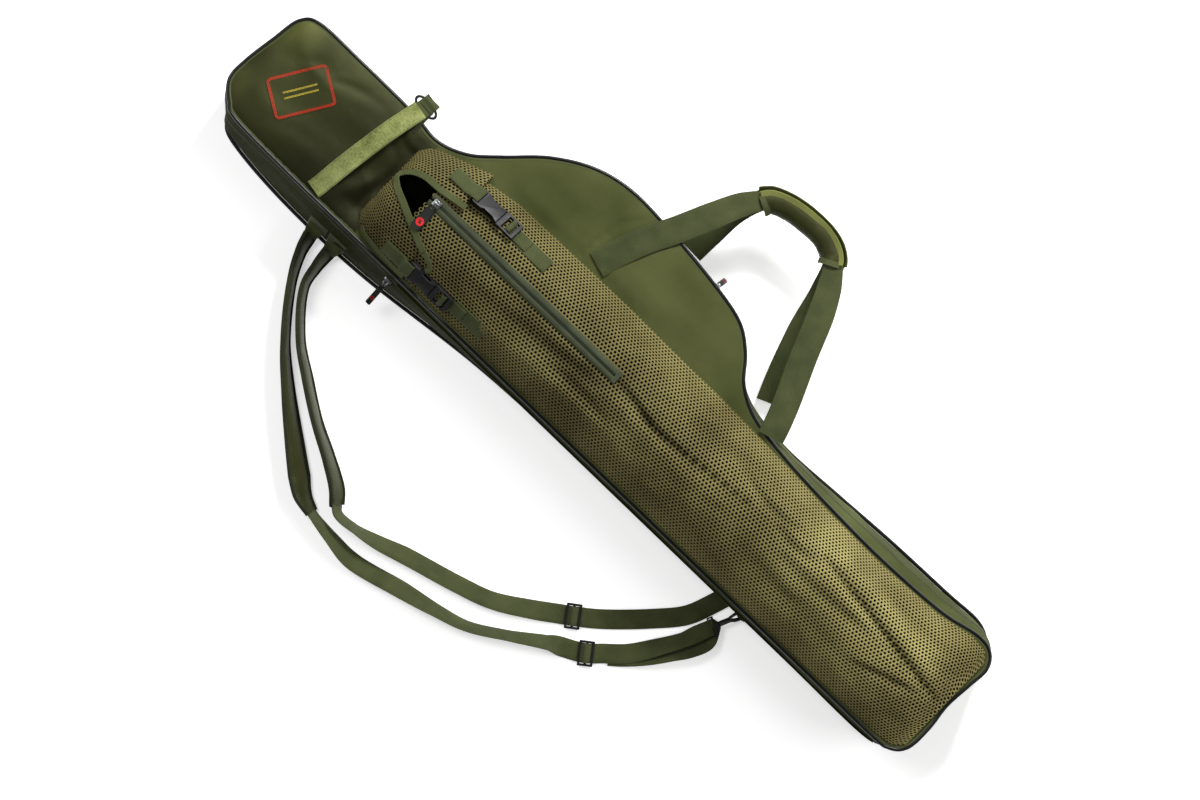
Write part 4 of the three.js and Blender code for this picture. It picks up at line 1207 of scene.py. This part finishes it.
WEB_OUTER = [
    (466, -415, 24, 55), (480, -420, 25, 60), (493, -423, 26, 62), (530, -428, 28, 50),
    (570, -431, 28, 30), (650, -412, 28, 30), (700, -400, 28, 50),
    (750, -385, 28, 60), (800, -355, 28, 60), (848, -323, 28, 45), (868, -313, 28, 0), (882, -306, 28, 0),
    (897, -297, 28, 0), (914, -281, 28, 0), (940, -256, 28, 10), (966, -216, 28, 35), (982, -188, 26, 40),
    (990, -168, 24, 12, 7), (996, -153.5, 23, 0, 12.2),
]
HOOK_EYE = (998.6, -147.4, 12.4)  # where the strap turns down through the hook's eye
WEB_RETURN = [
    (996, -153.5, 14.5, 23, 0), (*HOOK_EYE, 23, 0), (1002, -153, 8.4, 23, -6), (1009, -167, 8.5, 24, -30),
    (1001, -190, 11, 26, -42), (984, -213, 11, 27, -38), (962, -240, 7.5, 27, -22), (938, -265, 3.2, 27, -6),
    (922, -279, 1.5, 27, 0),
]


def simulate(piece, cap, sewn):
    """Swells a padded piece under pressure with the cloth solver; sewn points stay, and none
    moves over cap mm.

    The pad is thinner than a voxel of a remesh, so the solver runs on the pad's own even mesh."""
    group = piece.vertex_groups.new(name="sewn")
    group.add([int(i) for i in sewn], 1.0, "REPLACE")
    start = np.array([v.co for v in piece.data.vertices], float)
    cloth = piece.modifiers.new("cloth", "CLOTH")
    cloth.settings.use_pressure = True
    cloth.settings.uniform_pressure_force = CLOTH_PRESSURE
    cloth.settings.effector_weights.gravity = 0
    cloth.settings.vertex_group_mass = group.name
    cloth.settings.pin_stiffness = 1
    cloth.point_cache.frame_start = 1
    cloth.point_cache.frame_end = CLOTH_STEPS
    for step in range(1, CLOTH_STEPS + 1):
        bpy.context.scene.frame_set(step)
    depsgraph = bpy.context.evaluated_depsgraph_get()
    swollen = np.array([v.co for v in piece.evaluated_get(depsgraph).data.vertices], float)
    piece.modifiers.remove(cloth)
    piece.vertex_groups.remove(group)
    bpy.context.scene.frame_set(1)
    move = swollen - start
    far = np.linalg.norm(move, axis=1, keepdims=True)
    made = start + move * np.minimum(1, cap / 1000 / np.maximum(far, 1e-9))
    made[:, 2] = np.maximum(made[:, 2], 0.0006)
    piece.data.vertices.foreach_set("co", made.ravel().astype(np.float32))
    bpy.context.view_layer.objects.active = piece
    finer = piece.modifiers.new("finer", "SUBSURF")
    finer.levels = finer.render_levels = 1
    bpy.ops.object.modifier_apply(modifier=finer.name)
    piece.data.shade_smooth()


def shoulder_pad(side, rows):
    rows = on_ground(rows, PAD)
    here, wide, thick, width = strap_axes(rows, PAD_ROWS - 1)
    turn = np.linspace(0, 2 * math.pi, PAD_COLUMNS, endpoint=False)
    flat = np.sign(np.cos(turn)) * np.abs(np.cos(turn)) ** 0.6
    tall = np.sin(turn)
    row = np.arange(PAD_ROWS)
    taper = np.clip(np.minimum(row, row[::-1]) / 6, 0.35, 1)
    thickness = (PAD - 2.6) * taper
    ring = (here[:, None] + wide[:, None] * ((width - 4) / 2)[:, None, None] * flat[None, :, None]
            + thick[:, None] * (thickness / 2)[:, None, None] * tall[None, :, None])
    points = ring.reshape(-1, 3)
    points = points + np.repeat(thick, PAD_COLUMNS, 0) * (0.8 * wave(points, 26, 26, 26, seed=51))[:, None]
    points[:, 2] = np.maximum(points[:, 2], 0.6)
    pad = rings(f"shoulder_pad_{side}_cloth", points.reshape(ring.shape), "head_cloth", None,
                stands_for=[f"shoulder_pad_{side}"], slot="canvas", sharp=180)
    edges = (row[:, None] * PAD_COLUMNS + np.array([0, PAD_COLUMNS // 2])).ravel()
    last = PAD_ROWS * PAD_COLUMNS
    ends = np.concatenate([np.arange(2 * PAD_COLUMNS), np.arange(last - 2 * PAD_COLUMNS, last)])
    simulate(pad, 5, np.union1d(edges, ends))
    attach(pad, "case_base")
    for edge, a in (("low", -1), ("high", 1)):
        line = here + wide * (a * (width - 3) / 2)[:, None]
        line[:, 2] = np.maximum(line[:, 2], 1.6)
        band(f"shoulder_pad_{side}_binding_{edge}", line, wide * a, 6.5, 1.1, "webbing_dark", "case_base",
             stitch=False)
    rows_of = [(here + wide * (a * (width - 4) * 0.33)[:, None]
                + thick * (b * (thickness * 0.44 + 0.5))[:, None], thick * b)
               for a in (-1, 1) for b in (-1, 1)]
    stitched(f"shoulder_pad_{side}_stitches", rows_of, "case_base")


shoulder_pad("inner", PAD_INNER)
shoulder_pad("outer", PAD_OUTER)
ribbon("shoulder_webbing_inner_woven", on_ground(WEB_INNER, WEBBING), WEBBING, "webbing", "case_base", 150,
       stands_for=["shoulder_webbing_inner"], slot="webbing", wobble=0.2)
ribbon("shoulder_webbing_outer_woven", on_ground(WEB_OUTER, WEBBING), WEBBING, "webbing", "case_base", 150,
       stands_for=["shoulder_webbing_outer"], slot="webbing", wobble=0.2)


ribbon("shoulder_webbing_outer_return", WEB_RETURN, 1.6, "webbing", "case_base", 60, wobble=0.2)
for side, (x, y, heading) in (("inner", (848, -272, 36)), ("outer", (897, -297, 37))):
    turn = math.radians(heading)
    ahead = np.array([math.cos(turn), math.sin(turn), 0])
    rows = [tuple(np.array([x, y, z]) + ahead * d) + (27,)
            for d, z in ((-9.5, 3.7), (-5.4, 5.2), (-2.2, 8.5), (0, 9.2), (2.2, 8.5), (5.4, 5.2), (9.5, 3.7))]
    ribbon(f"tri_glide_{side}_wrap", rows, 1.4, "webbing", f"tri_glide_{side}", 30, wobble=0)


def gusset_side(x, z):
    return -98 + float(back_shift(x)) + (HINGE_WALL_Y + 98 - float(back_shift(x))) * z / ZIP_MID


for side, x in (("inner", 249), ("outer", 213)):
    rows = [(x, gusset_side(x, z) - 4, z, 32) for z in (10, 28, 46)]
    ribbon(f"anchor_patch_{side}_webbing", rows, WEBBING, "webbing", "case_base", 12, wobble=0.1,
           stands_for=[f"anchor_patch_{side}"], slot="webbing", seams=(-0.85, 0.85))
    end = on_ground({"inner": PAD_INNER, "outer": PAD_OUTER}[side], PAD)[0]
    link = [(x, gusset_side(x, 26) - 5, 26, 25), (x, (gusset_side(x, 22) + end[1]) / 2 - 2, 24, 25),
            (end[0], end[1] - 4, end[2] + 1, 25, 50)]
    ribbon(f"anchor_{side}_link", link, WEBBING, "webbing", "case_base", 16, wobble=0.1)

ring_low, ring_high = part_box("d_ring")
tab_x = (ring_low.x + ring_high.x) * 500 - SHIFT[0]
tab_y, tab_z = -97, 12
tab_path = [(10.5, 7.6), (4, 6.2), (-1.2, 3.9), (-3.0, 0), (-1.2, -3.5), (4, -3.4), (10, -3.3)]
ribbon("d_ring_tab_webbing", [(tab_x, tab_y + a, tab_z + b, 22) for a, b in tab_path], 1.7, "webbing",
       "case_base", 40, stands_for=["d_ring_tab"], slot="webbing", wobble=0.05)

# ---------- inside the base ----------
for k, x in enumerate((235, 980)):
    low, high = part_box(f"inner_rod_strap_{k + 1}")
    y = (low.y + high.y) * 500 - SHIFT[1]
    z = PANEL + GAP + 6 + GAP
    rows = [(x, y - 55, z + 1, 25), (x, y - 40, z + 3, 25), (x, y - 15, z + 16, 25), (x, y + 15, z + 16, 25),
            (x, y + 40, z + 3, 25), (x, y + 55, z + 1, 25)]
    ribbon(f"inner_rod_strap_{k + 1}_webbing", rows, WEBBING, "webbing_dark", "case_base", 40,
           stands_for=[f"inner_rod_strap_{k + 1}"], slot="webbing", seams=(-0.8, 0.8))

# ---------- buckle frames and their webbing ----------
RIB_PITCH = 4.6


def buckle_frame(y):
    """The buckle's own axes on the pocket, as the CAD places them."""
    slope_x = (surface(pocket, 420, y) - surface(pocket, 360, y)) / 60
    slope_y = (surface(pocket, 390, y + 5) - surface(pocket, 390, y - 5)) / 10
    along = unit([1, 0, slope_x])
    normal = unit([-slope_x, -slope_y, 1])
    return np.array([350, y, surface(pocket, 350, y) + 1.6]), along, np.cross(normal, along), normal


def upright(name, frame, profile, width, thickness, material, body, steps=40, ribs=0.0, **more):
    """Webbing whose path is given from its side, as [along, height] in the buckle's frame.

    Ribs are cross ridges.
    """
    origin, along, across, normal = frame
    path = open_curve(np.array([[a, 0, b] for a, b in profile], float), steps)
    path_along = unit(np.gradient(path, axis=0))
    over = np.stack([-path_along[:, 2], np.zeros(len(path)), path_along[:, 0]], 1)
    sections, uv = [], []
    length = measured(path)
    for i, p in enumerate(path):
        shape = []
        for face in (1, -1):
            for k in (range(7) if face > 0 else range(6, -1, -1)):
                ridge = ribs * abs(math.sin(math.pi * length[i] / RIB_PITCH)) * (face > 0)
                lift = face * EDGE_THICKNESS[k] * thickness / 2 + ridge * EDGE_THICKNESS[k]
                q = p + over[i] * lift + np.array([0, ACROSS[k] * width / 2, 0])
                shape.append(origin + along * q[0] + across * q[1] + normal * q[2])
                uv.append((length[i], ACROSS[k] * width / 2))
        sections.append(shape)
    return rings(name, sections, material, body, uv=uv, **more)


for side, y in (("right", 54), ("left", -75)):
    frame_here = buckle_frame(y)
    origin, along, across, normal = frame_here
    upright(f"{side}_buckle_tab_webbing", frame_here,
            [(-46, 8.3), (-30, 8.6), (-13, 8.7), (-7, 12.0), (0, 12.7),
              (5.5, 12.6), (6.2, 9), (5.8, 3), (0, 2.6)],
            23, 1.8, "webbing", "case_lid", stands_for=[f"{side}_buckle_tab"], slot="webbing")
    upright(f"{side}_buckle_loop_webbing", frame_here,
            [(60, 10.2), (64, 10.4), (66.4, 8), (66.8, 3.4), (70, 2.2), (86, 2.2), (100, 2.2)],
            20, 1.6, "webbing", f"{side}_buckle_male", stands_for=[f"{side}_buckle_loop"], slot="webbing")
    upright(f"{side}_buckle_strip_webbing", frame_here, [(80, -0.7), (100, -0.8), (118, -0.9), (138, -1.2)],
            25, 1.2, "webbing", "case_lid", steps=110, ribs=0.8,
            stands_for=[f"{side}_buckle_strip"], slot="webbing")
    for number, at in enumerate((-43, -33, -23)):
        line = np.array([origin + along * at + across * c + normal * 9.7 for c in np.linspace(-9, 9, 12)])
        stitched(f"{side}_buckle_tab_seam_{number + 1}", [(line, np.tile(normal, (12, 1)))], "case_lid",
                 every=2.6, length=2.1)
    for number, at in enumerate((108, 132)):
        line = np.array([origin + along * at + across * c + normal * 0.2 for c in np.linspace(-9.5, 9.5, 12)])
        stitched(f"{side}_buckle_strip_seam_{number + 1}", [(line, np.tile(normal, (12, 1)))], "case_lid",
                 every=2.6, length=2.1)

# ---------- zip pulls ----------
SLIDER_TOP = 4 + GAP + 1.6


def block(corners, rise):
    """A raised bar over four corners: its points and faces."""
    return (np.vstack([corners, corners + (0, 0, rise)]),
            grid(2, 4, False, True) + [(4, 5, 6, 7), (3, 2, 1, 0)])


def pull(name, at, along, facing, hang, length, width):
    """A wire link through the slider's bridge and a rubber tab with a raised rim, ribs and a red button."""
    across = np.cross(facing, along)
    turn = math.radians(hang)
    down = -(across * math.cos(turn) + facing * math.sin(turn))
    face = unit(np.cross(along, -down))
    start = at + facing * SLIDER_TOP

    def put(points):
        flat = np.asarray(points, float).reshape(-1, 3)
        moved = start + along * flat[:, :1] + down * flat[:, 1:2] + face * flat[:, 2:3]
        return moved.reshape(np.shape(points))

    turns = np.linspace(0, 2 * math.pi, 28, endpoint=False)
    loop = np.stack([1.9 * np.cos(turns), 4.6 - 5.6 * np.sin(turns), np.zeros(28)], 1)
    loop_out = unit(np.stack([np.cos(turns), -np.sin(turns), np.zeros(28)], 1))
    wire = [loop + loop_out * 0.55 * math.cos(a) + UP * 0.55 * math.sin(a)
            for a in np.linspace(0, 2 * math.pi, 8, endpoint=False)]
    wire = np.stack(wire, 1)
    rings(f"{name}_link", put(wire), "metal", f"{name}_pull", closed=True,
          stands_for=[f"{name}_pull"], slot="metal")
    corner = min(width * 0.28, 4)
    plan = []
    for cx, cy, a0 in ((width / 2 - corner, length - corner, 0), (-width / 2 + corner, length - corner, 90),
                       (-width / 2 + corner, 9.5 + corner, 180), (width / 2 - corner, 9.5 + corner, 270)):
        for a in np.radians(np.linspace(a0, a0 + 90, 6)):
            plan.append((cx + corner * math.cos(a), cy + corner * math.sin(a)))
    plan = np.array(plan)
    middle = plan.mean(0)

    def layer(shrink, height):
        size = np.ptp(plan, axis=0) / 2
        return np.column_stack([middle + (plan - middle) * (1 - shrink / size), np.full(len(plan), height)])

    levels = [layer(*at) for at in ((0.8, -1.3), (0, -0.8), (0, 0.7), (0.5, 1.25), (1.1, 1.25), (1.5, 0.75))]
    ring = np.stack(levels, 0)
    rings(f"{name}_tab", put(ring), "rubber", f"{name}_pull", slot="plastic",
          sharp=30)
    rib = []
    for k in range(4):
        y0 = 12.5 + k * 1.9
        bar = np.array([(-width / 2 + 2.2, y0, 0.7), (width / 2 - 2.2, y0, 0.7),
                        (width / 2 - 2.2, y0 + 0.9, 0.7),
                        (-width / 2 + 2.2, y0 + 0.9, 0.7)])
        rib.append(block(bar, 0.45))
    points, faces = joined(rib)
    make(f"{name}_tab_ribs", put(points), faces, "rubber", f"{name}_pull", sharp=30)
    radius = min(width * 0.4, 6.2)
    turns = np.linspace(0, 2 * math.pi, 30, endpoint=False)
    circle = np.stack([np.cos(turns), np.sin(turns)], 1)
    centre = (0, 9.5 + (length - 9.5) * 0.66)
    disc = np.stack([np.column_stack([circle * radius * r + centre, np.full(30, h)])
                     for r, h in ((1, 0.6), (1, 1.2), (0.86, 1.45), (0.72, 1.2), (0.3, 1.35))], 0)
    rings(f"{name}_button", put(disc), "red", f"{name}_pull", sharp=30)
    bars = []
    for a in (25, 70, 115):
        t = math.radians(a)
        run = np.array([math.cos(t), math.sin(t)]) * radius * 0.6
        wide = np.array([-math.sin(t), math.cos(t)]) * 0.5
        flat = [np.array(centre) + run * s + wide * w for s, w in ((-1, -1), (1, -1), (1, 1), (-1, 1))]
        bar = np.array([(*p, 1.1) for p in flat])
        bars.append(block(bar, 0.42))
    points, faces = joined(bars)
    make(f"{name}_button_spokes", put(points), faces, "rubber", f"{name}_pull", sharp=30)


pocket_slope = unit([1, 0, (crown(650) - crown(320)) / 330])
pull("pocket", np.array([318, ZIP_Y, crown(318) + 3]), pocket_slope,
     np.array([-pocket_slope[2], 0, pocket_slope[0]]), 5, 46, 15)
SLIDER_LEVEL = 73.6
pull("main", np.array([338, HINGE_WALL_Y - 2.2, SLIDER_LEVEL]), np.array([1.0, 0, 0]), np.array([0, -1.0, 0]),
     -50, 52, 8)
pouch_run = unit([1, -0.17, 0])
pull("pouch", np.array([672, 195.4, SLIDER_LEVEL]), -pouch_run, np.array([-pouch_run[1], pouch_run[0], 0]),
     -20, 36, 8)

# ---------- hardware that keeps its CAD shape ----------
for name, node in nodes.items():
    if node.hide_render:
        continue
    hard = "metal" if "slider" in name else "plastic"
    node.data.materials.clear()
    node.data.materials.append(materials[hard])
    weld = node.modifiers.new("weld", "WELD")
    weld.merge_threshold = 0.00002
    soften = node.modifiers.new("soften", "BEVEL")
    soften.width = 0.0011 if "ring" in name or "hook" in name else 0.0009
    soften.segments = 3
    soften.limit_method = "ANGLE"
    soften.angle_limit = math.radians(28)
    node.data.shade_smooth()
    soften.harden_normals = False

# ---------- stitched label on the head ----------
def label():
    """A plain woven patch: a red rim and two yellow rules, and nothing written."""
    centre, size, turn = np.array([74, -8]), np.array([44, 30]), math.radians(58)
    axis = np.array([math.cos(turn), math.sin(turn)])
    cross = np.array([-axis[1], axis[0]])

    def outline(grow, steps=9):
        corner = 7 + grow
        points = []
        for sx, sy, a0 in ((1, 1, 0), (-1, 1, 90), (-1, -1, 180), (1, -1, 270)):
            for a in np.radians(np.linspace(a0, a0 + 90, steps)):
                local = np.array([sx * (size[0] - 7) + corner * math.cos(a),
                                  sy * (size[1] - 7) + corner * math.sin(a)])
                points.append(centre + axis * local[0] + cross * local[1])
        points = np.array(points)
        dense = [points[i] + (points[(i + 1) % len(points)] - points[i]) * t
                 for i in range(len(points)) for t in np.linspace(0, 1, 6, endpoint=False)]
        return np.array(dense)

    def high(xy):
        return front_top(xy, distance(xy, front))

    line = outline(0)
    slab("label_patch", line, 4, lambda p, gap: high(p) + 0.9, lambda p, gap: high(p) - 0.4,
         "head_cloth", "case_lid")
    rows = []
    for grow in (-1.0, -2.4, -3.8):
        rim = outline(grow)
        rim = np.vstack([rim, rim[:1]])
        rows.append((np.column_stack([rim, high(rim) + 1.0]), np.tile(UP, (len(rim), 1))))
    stitched("label_rim_thread", rows, "case_lid", "red_thread", every=1.9, length=1.8, radius=0.75)
    rows = []
    for offset in (-4, -2.6, 4, 5.4):
        rule = centre + axis * np.linspace(-26, 26, 40)[:, None] + cross * offset
        rows.append((np.column_stack([rule, high(rule) + 1.0]), np.tile(UP, (40, 1))))
    stitched("label_rule_thread", rows, "case_lid", "yellow_thread", every=1.9, length=1.8, radius=0.75)


label()

# ---------- floor and light ----------
FLOOR_HALF = 40
floor_mesh = bpy.data.meshes.new("floor")
floor_mesh.from_pydata([(x * FLOOR_HALF, y * FLOOR_HALF, -0.0003)
                        for x, y in ((-1, -1), (1, -1), (1, 1), (-1, 1))],
                       [], [(0, 1, 2, 3)])
floor_look = Nodes("floor")
floor_look.set(Base_Color=floor_look.ramp(floor_look.noise(0.8, 1), (0.9, 0.9, 0.9), (0.93, 0.93, 0.93)),
               Roughness=0.9,
               Emission_Color=(1, 1, 1, 1), Emission_Strength=0.5)
floor_mesh.materials.append(floor_look.material)
floor = bpy.data.objects.new("floor", floor_mesh)
bpy.context.scene.collection.objects.link(floor)

world = bpy.data.worlds.new("studio")
world.use_nodes = True
world.node_tree.nodes["Background"].inputs["Color"].default_value = (1, 1, 1, 1)
world.node_tree.nodes["Background"].inputs["Strength"].default_value = 0.2
bpy.context.scene.world = world


def softbox(name, image_x, image_y, height, size, power):
    """An area light placed by the camera's right and up, aimed at the case."""
    data = bpy.data.lights.new(name, "AREA")
    data.size = size
    data.energy = power
    light = bpy.data.objects.new(name, data)
    light.location = right * image_x + up * image_y + Vector((0, 0, height))
    light.rotation_euler = (-light.location).to_track_quat("-Z", "Y").to_euler()
    bpy.context.scene.collection.objects.link(light)


softbox("key", 1.3, 2.4, 2.2, 0.7, 150)
softbox("fill", -1.6, 1.2, 3.0, 1.2, 40)
softbox("rim", 2.2, -0.6, 1.8, 1.0, 22)
bpy.context.scene.view_settings.view_transform = "Standard"
